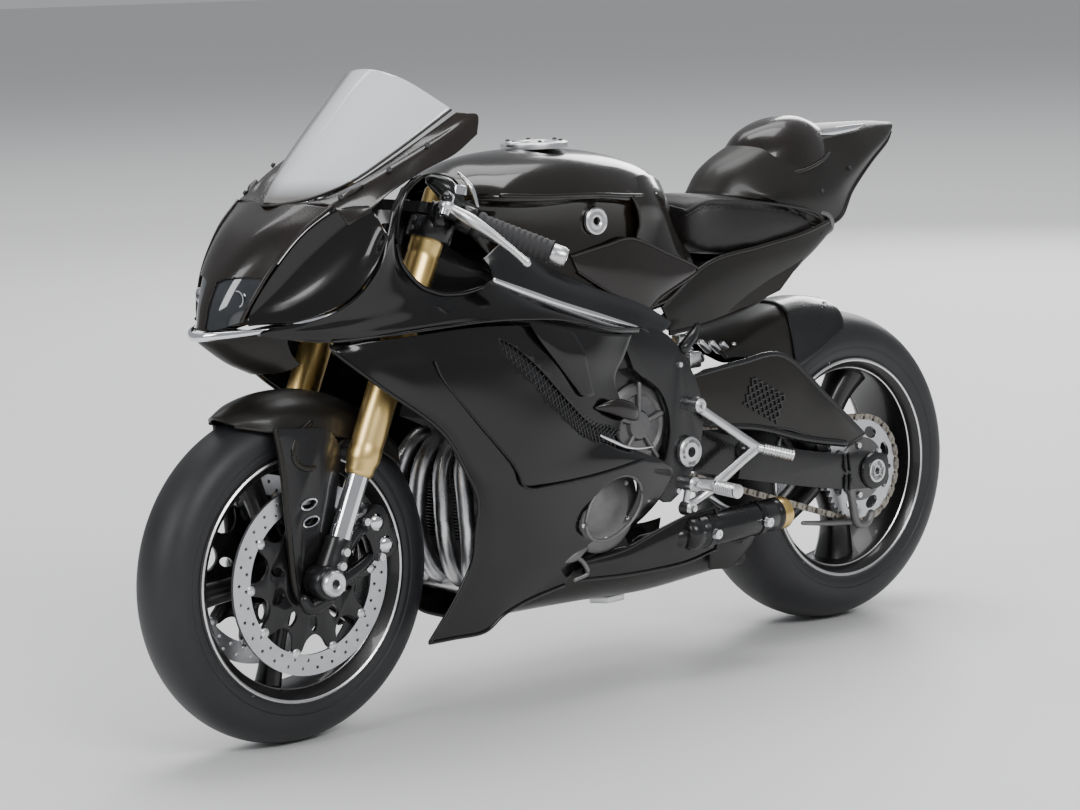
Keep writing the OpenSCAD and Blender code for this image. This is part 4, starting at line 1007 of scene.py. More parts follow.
def makeVent(spec):
    line = refine([(72, 41.6, 134.6), (58, 42.4, 123.6), (44, 42.2, 110.6), (32, 41.2, 101.4),
                   (18, 40, 96.6)], 7)
    rows = []
    for x, y, z in line:
        for side in (1, -1):
            for lean in (1, -1):
                rows.append(((x, side * y, z), (0.25 * lean + 0.55, 0, -0.8 * lean + 0.35), 1.0))
    mesh = grow("ventMesh", wireTree, {"Wire Radius": spec["ventWire"] * mm, "Wire Length": 9 * mm,
                                       "Material": finish("chainSteel")}, pointCloud("ventPoints", rows))
    settle(mesh, "framePaint", "chassis")
    back = shape("ventBack", pair(bar([(x, y - 2.2, z) for x, y, z in line], 4.6, k=1, sides=12, flat=0.25)))
    settle(back, "darkPlastic", "chassis")


makeVent(sideFairing)

crankCover = {"centre": (18, 71), "bolts": 6, "boltCircle": 12.9, "boltFace": 34.3, "boltSize": 0.8}


def makeCrankCovers(spec):
    x, z = spec["centre"]
    hole = sideFairing["oval"]
    dome = []
    for side in (1, -1):
        dome.append(lathe([(0, side * 36.4), (6, side * 36.4), (7, side * 35.6), (11, side * 35.4),
                           (12.4, side * 34.6), (16.4, side * 34.2), (18.4, side * 32.6), (18.4, side * 21),
                           (0, side * 21)],
                          (x, 0, z), steps=64))
    settle(shape("crankCovers", joined(*dome)), "castMetal", "chassis", ["crank_covers"])
    rim = oval(hole["centre"], hole["long"] - 0.2, hole["short"] - 0.2, hole["turn"], 48)
    path = [(px, 39.4 - abs(pz - 70) * 0.06, pz) for px, pz in rim] + [(rim[0][0], 39.4, rim[0][1])]
    settle(shape("ovalRim", pair(tube(path, 0.7, 10))), "castMetal", "chassis")
    for n in range(spec["bolts"]):
        a = 2 * math.pi * (n + 0.5) / spec["bolts"]
        place = (x + spec["boltCircle"] * math.cos(a), spec["boltFace"], z + spec["boltCircle"] * math.sin(a))
        screwPair("chassis", "brightAlloy", place, (0, 1, 0), spec["boltSize"])


makeCrankCovers(crankCover)
print("fairings ready")


# belly pan with its fins, slot and loop

bellyPan = {
    "wall": 1.2,
    "slot": {"centre": (5.4, 43.2), "long": 4.6, "short": 2.1, "turn": 170},
    "loop": {"centre": (-12, 2, 27.4), "outer": 6.6, "inner": 4.2, "half": 1.3, "stretch": 1.3},
    # the cheeks that hide the front of the canister; rows run from front to back
    "cheek": [
        [(27, 32.6, 50.6), (27, 32.6, 47.4), (27, 30.4, 43.6)],
        [(8, 34.2, 52.4), (8, 34.4, 48), (8, 31.6, 42.4)],
        [(-8, 35.4, 57.2), (-8, 35.8, 50.4), (-8, 32, 42)],
        [(-24, 37, 61.4), (-24, 37.6, 53.6), (-25, 33, 42.6)],
        [(-36.6, 37.6, 62.8), (-38.4, 38.2, 55), (-41, 33.4, 45.4)],
    ],
}


def makeBelly(spec):
    pan = shape("bellyShell", shell(bellyGrid, spec["wall"], 1, whole=True, steps=(9, 7)))
    hole = spec["slot"]
    ring = oval(hole["centre"], hole["long"], hole["short"], hole["turn"], 24)
    cutAway(pan, plate(ring, 20, 40), plate(ring, -40, -20))
    settle(rounded(pan, 0.25), "satinPlastic", "chassis", ["belly_pan"])
    # tail fins of the pan
    fin = [
        [(-40, 28.4, 47.4), (-52, 28.6, 46.4), (-62, 27.6, 46), (-70, 26, 47.2)],
        [(-42, 28, 42), (-52, 27.6, 40.6), (-61, 26.4, 40), (-67, 24.6, 41.4)],
        [(-44, 25.6, 36.4), (-52, 25, 35.4), (-58, 23.6, 34.8), (-62, 21.6, 35.6)],
    ]
    settle(rounded(shape("bellyFins", pair(shell(fin, 1.0, -1, steps=(7, 6)))), 0.2), "satinPlastic",
           "chassis")
    hem = [(row[-1][0], row[-1][1] + 0.3, row[-1][2]) for row in bellyGrid]
    settle(shape("bellyHem", pair(bar(hem, 0.8, k=7, sides=12))), "satinPlastic", "chassis")
    bracket = bar([(33, 32.6, 54), (29, 33.4, 51.4), (26, 33, 46.4), (31, 31.4, 44.4)], 0.9, k=5, sides=12)
    wedge = bar([(38, 32, 52), (32, 33.2, 53.4), (26.4, 33.6, 56.2)], [0.5, 1.7, 0.6], k=6, sides=14,
                flat=0.5)
    settle(shape("fairingBracket", pair(joined(bracket, wedge))), "castMetal", "chassis")
    settle(rounded(shape("bellyLoop", hexRing(spec["loop"])), 0.4), "brightAlloy", "chassis", ["belly_loop"])
    cheeks = shape("bellyCheeks", pair(shell(spec["cheek"], 1.2, -1, steps=(8, 7))))
    settle(rounded(cheeks, 0.3), "fairingGloss", "chassis")
    for column, name in ((0, "cheekUpperEdge"), (2, "cheekLowerEdge")):
        line = [row[column] for row in spec["cheek"]]
        settle(shape(name, pair(bar(line, 0.7, k=7, sides=12))), "fairingGloss", "chassis")
    end = spec["cheek"][-1]
    settle(shape("cheekRearEdge", pair(bar(end, 0.9, k=7, sides=12))), "fairingGloss", "chassis")
    for place in ((52, 25.6, 40.4), (-20, 28.8, 44), (-46, 28.2, 43)):
        screwPair("chassis", "darkPlastic", place, (0, 1, -0.4), 1.0)


def hexRing(ring):
    verts = []
    cx, cy, cz = ring["centre"]
    for z in (cz - ring["half"], cz + ring["half"]):
        for r in (ring["outer"], ring["inner"]):
            for a in range(0, 360, 60):
                t = math.radians(a)
                verts.append((cx + r * ring["stretch"] * math.cos(t), cy + r * math.sin(t), z))
    faces = []
    for i in range(6):
        j = (i + 1) % 6
        faces += [(i, j, 6 + j, 6 + i), (12 + i, 18 + i, 18 + j, 12 + j), (i, 12 + i, 12 + j, j),
                  (6 + i, 6 + j, 18 + j, 18 + i)]
    return verts, faces


makeBelly(bellyPan)
print("belly ready")


# wheels

frontAxle = (140, 0, 59.5)
rearAxle = (-136, 0, 63)
rake = math.radians(24)
rakeUp = Vector((-math.sin(rake), 0, math.cos(rake)))
rakeForward = Vector((math.cos(rake), 0, math.sin(rake)))
forkBase = Vector((138.5, 0, 59.5))

frontWheel = {
    "tyreRadius": 59.5, "tyreHalf": 12, "waist": 49.5, "beadRadius": 44.8, "beadHalf": 11, "wall": 2.2,
    "rim": [(44.7, -11.2), (43.4, -10.2), (41.2, -8.6), (40.4, -5.6), (40.2, 0), (40.4, 5.6), (41.2, 8.6),
            (43.4, 10.2), (44.7, 11.2), (43.2, 11.4), (41.7, 10.2), (39.7, 8.2), (38.9, 5.2), (38.6, 0),
            (38.9, -5.2), (39.7, -8.2), (41.7, -10.2), (43.2, -11.4)],
    "hub": [(3.2, -14.2), (5, -14.2), (5.6, -13.4), (6.2, -10), (8.2, -6), (8.6, 0), (8.2, 6), (6.2, 10),
            (5.6, 13.4), (5, 14.2), (3.2, 14.2)],
    "spokes": 5, "spokeWide": (9.5, 6.6, 8.6), "spokeDeep": (9, 6.4, 9.4), "spokeBend": 0.0, "startAngle": 68,
}
rearWheel = {
    "tyreRadius": 63, "tyreHalf": 18, "waist": 50.5, "beadRadius": 45.2, "beadHalf": 16.4, "wall": 2.4,
    "rim": [(45.1, -16.6), (43.9, -15.6), (42.4, -13.4), (41.4, -10.5), (41, 0), (41.4, 10.5), (42.4, 13.4),
            (43.9, 15.6), (45.1, 16.6), (43.6, 16.9), (41.8, 15.4), (40.6, 13), (39.6, 10), (39.2, 0),
            (39.6, -10), (40.6, -13), (41.8, -15.4), (43.6, -16.9)],
    "hub": [(3.2, -17), (8.6, -17), (9.4, -16), (9.8, -12), (11.2, -6), (11.4, 0), (11.2, 6), (9.8, 12),
            (9.4, 16), (8.6, 17), (3.2, 17)],
    "spokes": 5, "spokeWide": (13, 10, 15), "spokeDeep": (11, 9, 15), "spokeBend": 14.0, "startAngle": 30,
}


def tyreProfile(spec):
    r, half, waist = spec["tyreRadius"], spec["tyreHalf"], spec["waist"]
    found = []
    for n in range(-18, 19):
        a = math.radians(n * 5)
        found.append((waist + (r - waist) * math.cos(a) ** 0.9, half * math.sin(a)))
    side, bead, wall = half, spec["beadRadius"], spec["wall"]
    upper = [(waist - 1.2, side - 0.15), (waist - 1.6, side - 0.55), (waist - 2.4, side - 0.5),
             (bead + 1.5, spec["beadHalf"] + 0.5), (bead + 0.8, spec["beadHalf"] + 0.1),
             (bead, spec["beadHalf"]),
             (bead, spec["beadHalf"] - wall)]
    inner = []
    for n in range(18, -19, -3):
        a = math.radians(n * 5)
        inner.append((waist + (r - waist - wall) * math.cos(a), (half - wall) * math.sin(a)))
    lower = [(p, -q) for p, q in reversed(upper)]
    return found + upper + inner + lower


def spokeData(spec, axle, count, steps=10, sides=12):
    # each spoke is a loft of rounded sections from the hub out to the rim
    hubRadius = spec["hub"][4][0] - 1.2
    rimRadius = spec["rim"][13][0] + 0.8
    verts, faces = [], []
    for s in range(count):
        start = len(verts)
        base = math.radians(spec["startAngle"] + 360 * s / count)
        for i in range(steps + 1):
            t = i / steps
            r = hubRadius + (rimRadius - hubRadius) * t
            a = base + math.radians(spec["spokeBend"]) * math.sin(math.pi * t * 0.5) * t
            w0, w1, w2 = spec["spokeWide"]
            d0, d1, d2 = spec["spokeDeep"]
            wide = (w0 * (1 - t) ** 2 + 2 * w1 * t * (1 - t) * 0.9 + w2 * t ** 2) / 2
            deep = (d0 * (1 - t) ** 2 + 2 * d1 * t * (1 - t) * 0.9 + d2 * t ** 2) / 2
            for k in range(sides):
                b = 2 * math.pi * k / sides
                cw = math.copysign(abs(math.cos(b)) ** 0.55, math.cos(b)) * wide
                cd = math.copysign(abs(math.sin(b)) ** 0.8, math.sin(b)) * deep
                verts.append((axle[0] + r * math.cos(a) - cw * math.sin(a), cd,
                              axle[2] + r * math.sin(a) + cw * math.cos(a)))
        for i in range(steps):
            for k in range(sides):
                n = (k + 1) % sides
                faces.append((start + i * sides + k, start + i * sides + n, start + (i + 1) * sides + n,
                              start + (i + 1) * sides + k))
        faces.append(tuple(start + k for k in range(sides)))
        faces.append(tuple(start + steps * sides + k for k in range(sides)))
    return verts, faces


def makeWheel(spec, axle, body, label):
    tyre = shape(label + "TyreCarcass", lathe(tyreProfile(spec), axle, steps=144))
    settle(tyre, "tyreRubber", body, [label + "_tyre"], angle=30)
    rim = shape(label + "RimBarrel", lathe(spec["rim"], axle, steps=120))
    settle(rim, "rimPaint", body, [label + "_rim"], angle=28)
    hub = lathe(spec["hub"], axle, steps=64)
    settle(shape(label + "Hub", hub), "rimPaint", body)
    settle(shape(label + "Spokes", spokeData(spec, axle, spec["spokes"])), "rimPaint", body, angle=50)
    half = spec["beadHalf"]
    lips = []
    for side in (1, -1):
        r, y = spec["beadRadius"] - 1.4, side * (half + 0.45)
        lips.append(lathe([(r - 0.55, y), (r, y + side * 0.35), (r + 0.55, y), (r, y - side * 0.35)], axle,
                          steps=120))
        y = side * (half - 3.4)
        r = spec["rim"][11][0] + 0.35
        lips.append(lathe([(r - 0.75, y), (r - 0.4, y + 0.3), (r, y), (r - 0.4, y - 0.3)], axle, steps=120))
    settle(shape(label + "RimLines", joined(*lips)), "brightAlloy", body)
    a = math.radians(spec["startAngle"] + 36)
    r = spec["rim"][13][0]
    stem = bar([(axle[0] + r * math.cos(a), 0, axle[2] + r * math.sin(a)),
                (axle[0] + (r - 5) * math.cos(a), 2.2, axle[2] + (r - 5) * math.sin(a))], [1.2, 0.9], k=3,
                sides=12)
    settle(shape(label + "Valve", stem), "gripRubber", body)


makeWheel(frontWheel, frontAxle, "front_wheel", "front")
makeWheel(rearWheel, rearAxle, "rear_wheel", "rear")
print("wheels ready")


# drilled brake discs

def makeDiscTree():
    tree, given, result = startTree("drilledDisc", [
        ("Outer Radius", "NodeSocketFloat", 33.7 * mm), ("Inner Radius", "NodeSocketFloat", 26 * mm),
        ("Thickness", "NodeSocketFloat", 1.2 * mm), ("Hole Radius", "NodeSocketFloat", 0.6 * mm),
        ("Material", "NodeSocketMaterial", None)])
    outer = tree.nodes.new("GeometryNodeMeshCylinder")
    outer.inputs["Vertices"].default_value = 120
    inner = tree.nodes.new("GeometryNodeMeshCylinder")
    inner.inputs["Vertices"].default_value = 96
    drill = tree.nodes.new("GeometryNodeMeshCylinder")
    drill.inputs["Vertices"].default_value = 10
    link(tree, given.outputs["Outer Radius"], outer.inputs["Radius"])
    link(tree, given.outputs["Inner Radius"], inner.inputs["Radius"])
    link(tree, given.outputs["Hole Radius"], drill.inputs["Radius"])
    link(tree, given.outputs["Thickness"], outer.inputs["Depth"])
    deep = tree.nodes.new("ShaderNodeMath")
    deep.operation = "MULTIPLY"
    deep.inputs[1].default_value = 3.0
    link(tree, given.outputs["Thickness"], deep.inputs[0])
    link(tree, deep.outputs[0], inner.inputs["Depth"])
    link(tree, deep.outputs[0], drill.inputs["Depth"])
    holes = aimedInstances(tree, given, drill.outputs["Mesh"])
    solid = tree.nodes.new("GeometryNodeRealizeInstances")
    link(tree, holes, solid.inputs[0])
    gather = tree.nodes.new("GeometryNodeJoinGeometry")
    link(tree, solid.outputs[0], gather.inputs[0])
    link(tree, inner.outputs["Mesh"], gather.inputs[0])
    bore = tree.nodes.new("GeometryNodeMeshBoolean")
    bore.operation = "DIFFERENCE"
    bore.solver = "EXACT"
    link(tree, outer.outputs["Mesh"], bore.inputs[0])
    link(tree, gather.outputs[0], bore.inputs[1])
    return endTree(tree, given, result, bore.outputs["Mesh"])


discTree = makeDiscTree()

frontDisc = {
    "outer": 33.7, "inner": 26.4, "thick": 1.2, "plane": 14.8, "hole": 0.62, "rows": (28.3, 31.2),
    "count": 30,
    "twist": 4.2, "bobbins": 10, "bobbinRadius": 1.7,
    # one arm of the carrier: part of a step round it, and radius
    "carrier": [(-0.13, 25.4), (0, 26.2), (0.13, 25.4), (0.24, 21.4), (0.5, 19.4), (0.76, 21.4)],
}


def discMesh(name, spec, axle, plane):
    cloud = []
    for k, r in enumerate(spec["rows"]):
        for n in range(spec["count"]):
            a = 2 * math.pi * n / spec["count"] + math.radians(spec["twist"] * k)
            cloud.append(((r * math.cos(a), r * math.sin(a), 0), (0, 0, 1), 1.0))
    disc = grow(name, discTree, {"Outer Radius": spec["outer"] * mm, "Inner Radius": spec["inner"] * mm,
                                 "Thickness": spec["thick"] * mm, "Hole Radius": spec["hole"] * mm,
                                 "Material": finish("discSteel")}, pointCloud(name, cloud))
    disc.data.transform(Matrix.Translation([c * mm for c in (axle[0], plane, axle[2])])
                        @ Matrix.Rotation(math.radians(90), 4, "X"))
    return disc


def makeFrontDiscs(spec):
    for side, name in ((1, "frontDiscLeft"), (-1, "frontDiscRight")):
        disc = discMesh(name, spec, frontAxle, side * spec["plane"])
        settle(disc, "discSteel", "front_wheel", ["front_discs"], angle=30)
    arms, bobbins = [], []
    rim = []
    for n in range(spec["bobbins"]):
        for turn, r in spec["carrier"]:
            a = 2 * math.pi * (n + turn) / spec["bobbins"]
            rim.append((frontAxle[0] + r * math.cos(a), frontAxle[2] + r * math.sin(a)))
    star = closedCurve(rim, 4)
    windows = []
    for n in range(spec["bobbins"]):
        a = 2 * math.pi * (n + 0.5) / spec["bobbins"]
        centre = (frontAxle[0] + 15.4 * math.cos(a), frontAxle[2] + 15.4 * math.sin(a))
        for side in (1, -1):
            y = side * spec["plane"]
            windows.append(plate(oval(centre, 2.9, 1.7, math.degrees(a), 18), y - 3, y + 3))
    for side in (1, -1):
        y = side * spec["plane"]
        arms.append(plate(star, y - 0.7, y + 0.7))
        arms.append(lathe([(4.4, y + side), (9.5, y + side), (11, y + side * 0.9), (12, y + side * 0.7),
                           (12, y - side * 0.7), (4.4, y - side * 0.7)], frontAxle, steps=48))
        for n in range(spec["bobbins"]):
            a = 2 * math.pi * n / spec["bobbins"]
            place = (frontAxle[0] + 26.2 * math.cos(a), y, frontAxle[2] + 26.2 * math.sin(a))
            bobbins.append(lathe([(0, 1.3 * side), (1, 1.3 * side), (spec["bobbinRadius"], 0.9 * side),
                                  (spec["bobbinRadius"], -0.9 * side), (1, -1.3 * side), (0, -1.3 * side)],
                                 place, steps=20))
            b = a + math.pi / spec["bobbins"]
            screw("front_wheel", "brightAlloy", (frontAxle[0] + 8.2 * math.cos(b), y + side * 0.8,
                                                 frontAxle[2] + 8.2 * math.sin(b)), (0, side, 0), 0.55)
    carrier = shape("discCarriers", joined(*arms))
    cutAway(carrier, *windows)
    settle(rounded(carrier, 0.25), "framePaint", "front_wheel")
    settle(shape("discBobbins", joined(*bobbins)), "brightAlloy", "front_wheel")


makeFrontDiscs(frontDisc)

rearDisc = {"outer": 17, "inner": 9.6, "thick": 1.2, "plane": -20.2, "hole": 0.55, "rows": (12, 14.8),
            "count": 20,
            "twist": 8}


def makeRearDisc(spec):
    disc = discMesh("rearDiscPlate", spec, rearAxle, spec["plane"])
    settle(disc, "discSteel", "rear_wheel", ["rear_disc"], angle=30)
    hub = lathe([(3.2, -21.4), (8, -21.4), (9.8, -20.9), (9.8, -19.6), (9, -19.2), (8.6, -17.2),
                 (3.2, -17.2)],
                rearAxle, steps=48)
    settle(shape("rearDiscHub", hub), "castMetal", "rear_wheel")


makeRearDisc(rearDisc)
print("discs ready")


# fork: clamps stay as designed; tubes, sliders, feet, guards and calipers

forkLeg = {
    "half": 22,
    "tube": [(4.15, 38), (4.7, 38.4), (5.1, 39.6), (5.2, 41.4), (5.8, 43.2), (6, 44.4), (6, 47.4),
             (5.8, 48.4), (5.8, 50), (5.9, 52), (5.9, 118), (5.6, 119), (5.9, 120), (5.9, 142), (5.4, 143),
             (3.4, 143), (3, 142.2), (1.2, 142.2), (1.2, 112), (4.15, 112)],
    "cap": [(0, 141.8), (1.5, 141.8), (1.5, 142.6), (0, 142.6)],
    "slider": [(0, 13), (3.9, 13), (3.9, 104), (0, 104)],
    "foot": [(0, -3), (3.4, -3), (5, -1.6), (5.4, 2), (5.2, 8), (4.8, 12.6), (4.9, 14), (4.6, 15.4),
             (0, 15.4)],
}


def onRake(s, y=0.0, forward=0.0, base=None):
    p = (base or forkBase) + rakeUp * s + rakeForward * forward
    return (p.x, y, p.z)


def makeForkLegs(spec):
    tubes, sliders, feet = [], [], []
    for side in (1, -1):
        y = side * spec["half"]
        base = onRake(0, y)
        tubes.append(lathe(spec["tube"], base, rakeUp, 48))
        tubes.append(lathe(spec["cap"], base, rakeUp, 24))
        sliders.append(lathe(spec["slider"], base, rakeUp, 40))
        feet.append(lathe(spec["foot"], base, rakeUp, 40))
        feet.append(lathe([(3.1, side * 17.4), (5.6, side * 17.4), (6.2, side * 18.2), (6.2, side * 25.6),
                           (5.6, side * 26.4), (3.1, side * 26.4)], frontAxle, steps=40))
        feet.append(bar([(139, y, 53.4), (146, y, 51.4), (148.6, y, 54.4)], [3.4, 2.8, 2.0], flat=0.9))
        feet.append(bar([(133, y, 68), (125, y * 0.93, 73.4), (119, y * 0.86, 75.4)], [3.6, 3.0, 2.4],
                        flat=0.9))
        feet.append(bar([(134, y, 58), (124, y * 0.93, 61), (117, y * 0.86, 64)], [3.0, 2.6, 2.2], flat=0.9))
    settle(shape("forkTubesGold", joined(*tubes)), "goldAnodised", "steering", ["fork_tubes"])
    settle(shape("forkSlidersChrome", joined(*sliders)), "polishedChrome", "fork_lower", ["fork_sliders"])
    settle(shape("forkFeetCast", joined(*feet)), "framePaint", "fork_lower", ["fork_feet"])
    for s, reach in ((6, 5.3), (11, 5.1)):
        p = onRake(s, 22 + reach)
        screwPair("fork_lower", "brightAlloy", p, (0, 1, 0), 1.5)
    axleEnds = []
    for side in (1, -1):
        axleEnds.append(lathe([(1.6, side * 26.6), (4.6, side * 26.6), (4.6, side * 28.6), (3.9, side * 29.4),
                               (2.1, side * 29.4), (1.6, side * 29)], frontAxle, steps=40))
    settle(shape("frontAxleEnds", joined(*axleEnds)), "brightAlloy", "fork_lower")


makeForkLegs(forkLeg)

guard = {
    "outline": [(153.5, 114), (151.6, 100), (150.4, 80), (149, 60), (146.5, 53.8), (141.5, 53), (137.5, 60),
                (133, 74), (128.5, 92), (127, 104), (134, 112)],
    "inner": 16.2, "outer": 17.7,
    "slots": [(141.6, 86.4), (141, 80.2)],
    "slotLong": 3.4, "slotShort": 1.7, "slotTurn": 170,
}


def makeGuards(spec):
    outline = closedCurve(spec["outline"], 3)
    plates = joined(plate(outline, spec["inner"], spec["outer"]),
                    plate(outline, -spec["outer"], -spec["inner"]))
    guards = shape("forkGuards", plates)
    rings, cutters = [], []
    for centre in spec["slots"]:
        slot = oval(centre, spec["slotLong"], spec["slotShort"], spec["slotTurn"], 24)
        cutters += [plate(slot, 10, 20), plate(slot, -20, -10)]
        for side in (1, -1):
            path = [(x, side * (spec["outer"] + 0.1), z) for x, z in slot + slot[:2]]
            rings.append(tube(path, 0.42, 8, up=(0, 1, 0.01)))
    cutAway(guards, lathe([(0, 10), (6.3, 10), (6.3, 20), (0, 20)], frontAxle, steps=32),
            lathe([(0, -10), (6.3, -10), (6.3, -20), (0, -20)], frontAxle, steps=32), *cutters)
    settle(rounded(guards, 0.3), "framePaint", "fork_lower")
    settle(shape("guardSlotRims", joined(*rings)), "polishedChrome", "fork_lower")
    front = [(154.4, 17.4, 113.6), (152.4, 17.8, 100), (151, 17.8, 80), (149.6, 17.8, 61),
             (147.4, 17.8, 54.4),
             (142.4, 17.8, 52.4), (139, 18, 56.4)]
    settle(shape("guardFlange", pair(bar(front, [0.9, 1.1, 1.1, 1.1, 1.1, 1.0, 0.5], flat=1.2, k=6))),
           "satinPlastic",
           "fork_lower")
    brace = [(122, 14, 106), (131, 15, 101.4), (140, 17.4, 98.6), (146, 17.6, 101), (147.4, 17.4, 106),
             (144, 16.4, 110.6), (137, 14.6, 114)]
    settle(shape("guardBrace", pair(bar(brace, 1.15, k=6, flat=0.8))), "satinPlastic", "fork_lower")


makeGuards(guard)

fender = {"wall": 1.2}


def makeFender(spec):
    panel = shape("frontFender", shell(fenderGrid, spec["wall"], -1, whole=True, steps=(9, 8)))
    settle(rounded(panel, 0.25), "satinPlastic", "fork_lower", ["front_fender"])
    edge = [row[-1] for row in fenderGrid]
    path = [(x, 0.5 - y, z) for x, y, z in reversed(edge)]
    whole = [(x, y - 0.5, z) for x, y, z in edge]
    hem = joined(bar(path, 0.6, k=6, sides=12), bar(whole, 0.6, k=6, sides=12))
    settle(shape("fenderHem", hem), "satinPlastic", "fork_lower")


makeFender(fender)

caliper = {"angle": 205, "reach": 29.8, "half": (12.4, 19)}


def makeCalipers(spec):
    a = math.radians(spec["angle"])
    out = Vector((math.cos(a), 0, -math.sin(a)))
    along = Vector((out.z, 0, -out.x))
    centre = Vector(frontAxle) + out * spec["reach"]

    def at(p, q, y):
        v = centre + out * p + along * q
        return (v.x, y, v.z)

    bodies, caps = [], []
    outline = [(-6, -7), (-2, -9.4), (5, -9), (6.4, -4), (5.6, 0), (6.4, 4), (5, 9), (-2, 9.4), (-6, 7),
               (-5, 0)]
    points = closedCurve([(p, q) for p, q in outline], 3)
    for side in (1, -1):
        for low, high in ((16.1, 20.4), (12.4, 13.4)):
            n = len(points)
            verts = [at(p, q, side * low) for p, q in points] + [at(p, q, side * high) for p, q in points]
            faces = [tuple(range(n)), tuple(range(2 * n - 1, n - 1, -1))]
            faces += [(i, i + n, (i + 1) % n + n, (i + 1) % n) for i in range(n)]
            bodies.append((verts, faces))
        for q in (-4.6, 4.6):
            caps.append(lathe([(0, side * 21.8), (1.4, side * 21.9), (2.8, side * 21.2), (3.2, side * 20.2),
                               (3.2, side * 18.8), (0, side * 18.8)], at(0.6, q, 0), steps=28))
        bodies.append(bar([at(5.4, -6, side * 12.8), at(7, 0, side * 16), at(5.4, 6, side * 12.8)], 2.0,
                          flat=0.8))
        screw("fork_lower", "brightAlloy", at(-3.4, -7.4, side * 20.5), (0, side, 0), 1.4)
        screw("fork_lower", "brightAlloy", at(-3.4, 7.4, side * 20.5), (0, side, 0), 1.4)
    shells = shape("caliperBodies", joined(*bodies))
    settle(rounded(shells, 0.5), "framePaint", "fork_lower", ["front_calipers"])
    settle(shape("caliperCaps", joined(*caps)), "polishedChrome", "fork_lower")


makeCalipers(caliper)
print("fork ready")


# bars, grips, levers and master cylinders

barIn = Vector((86, 27, 184.4))
barOut = Vector((54.6, 64, 164.6))
barWay = (barOut - barIn).normalized()

controls = {
    "grip": [(2.3, 14), (4.0, 14), (4.6, 14.6), (4.6, 16), (4.0, 16.8)],
    "ribs": 11,
    "lever": [(90.6, 40, 185), (88.4, 46.6, 181.4), (84.6, 54, 176), (80.6, 60.6, 170), (78.4, 63.6, 166.6)],
    "leverRadius": [1.7, 2.2, 1.6, 1.25, 1.5],
}


def makeBars(spec):
    frames, grips, ends, chrome = [], [], [], []
    for side in (1, -1):
        way = Vector((barWay.x, side * barWay.y, barWay.z))
        base = (barIn.x, side * barIn.y, barIn.z)
        profile = list(spec["grip"])
        for n in range(spec["ribs"]):
            s = 17.4 + n * 2.1
            profile += [(3.9, s), (4.15, s + 0.35), (4.15, s + 1.3), (3.9, s + 1.65)]
        profile += [(4.0, 41), (4.3, 41.4), (4.3, 42), (2.3, 42)]
        grips.append(lathe(profile, base, way, 32))
        ends.append(lathe([(0, 42.2), (3.2, 42.2), (3.5, 42.8), (3.5, 46.4), (2.9, 47.8), (1.4, 48),
                           (1.2, 47.2),
                           (0, 47.2)], base, way, 32))
        frames.append(lathe([(0, -3), (2.4, -3), (2.4, 46), (0, 46)], base, way, 24))
        frames.append(lathe([(0, 7.4), (4.2, 7.4), (4.8, 8.2), (4.8, 12.4), (4.2, 13.2), (0, 13.2)], base,
                            way, 32))
        frames.append(lathe([(6.02, 124.4), (7.6, 124.4), (8.1, 125), (8.1, 131.6), (7.6, 132.2),
                             (6.02, 132.2)],
                            onRake(0, side * 22), rakeUp, 40))
        frames.append(bar([(87.6, side * 28, 181), (87, side * 27, 184), (85, side * 28.6, 184.6)],
                          [3.4, 3.2, 3.0]))
        frames.append(bar([(86.4, side * 31, 188.6), (90, side * 36, 189.2), (92, side * 38.4, 188.8)],
                          [2.2, 2.4, 2.2]))
        frames.append(bar([(83, side * 32.6, 186.4), (86.4, side * 31, 191.6), (90.4, side * 29, 194.6)],
                          [3.4, 4.0, 2.4], flat=1.2))
        chrome.append(lathe([(0, 5.4), (2.2, 5.4), (2.9, 5), (3, 4), (3, 2), (0, 2)],
                            (84, side * 34.6, 187.6), (-0.2, 0, 1), 28))
        chrome.append(bar([(80.4, side * 31.4, 196.8), (77.6, side * 35, 191.4), (76.6, side * 36.8, 185)],
                          [0.5, 0.8, 0.5], flat=1.6))
        chrome.append(lathe([(0, 4.2), (1.6, 4.2), (2, 3.8), (2, -3.4), (0, -3.4)], (92, side * 38, 186.4),
                            rakeUp, 24))
    settle(shape("barAssembly", joined(*frames)), "framePaint", "steering", ["handlebars"])
    settle(shape("gripRubbers", joined(*grips)), "gripRubber", "steering", ["grips"], angle=60)
    settle(shape("barEnds", joined(*ends)), "brightAlloy", "steering")
    settle(shape("perchChrome", joined(*chrome)), "polishedChrome", "steering")
    lever = bar(spec["lever"], spec["leverRadius"], k=7, flat=0.7, sides=20)
    eye = lathe([(1.0, -1.3), (2.5, -1.3), (2.7, -1), (2.7, 1), (2.5, 1.3), (1.0, 1.3)], (92, 38, 186.4),
                rakeUp, 28)
    lever = joined(lever, eye)
    settle(shape("leverLeft", lever), "brightAlloy", "clutch", ["clutch_lever"])
    settle(shape("leverRight", mirrored(lever)), "brightAlloy", "brake", ["brake_lever"])
    for y in (22, -22):
        screw("steering", "brightAlloy", onRake(143.1, y), tuple(rakeUp), 2.0)
    clampBase = forkBase - rakeForward * 6
    screw("steering", "brightAlloy", onRake(137.6, 0, base=clampBase), tuple(rakeUp), 3.0)
    for s in (126.6, 130):
        screwPair("steering", "darkPlastic", onRake(s, 22, 8.1), tuple(rakeForward), 0.9)


makeBars(controls)
print("controls ready")


# tank with its cap and badges

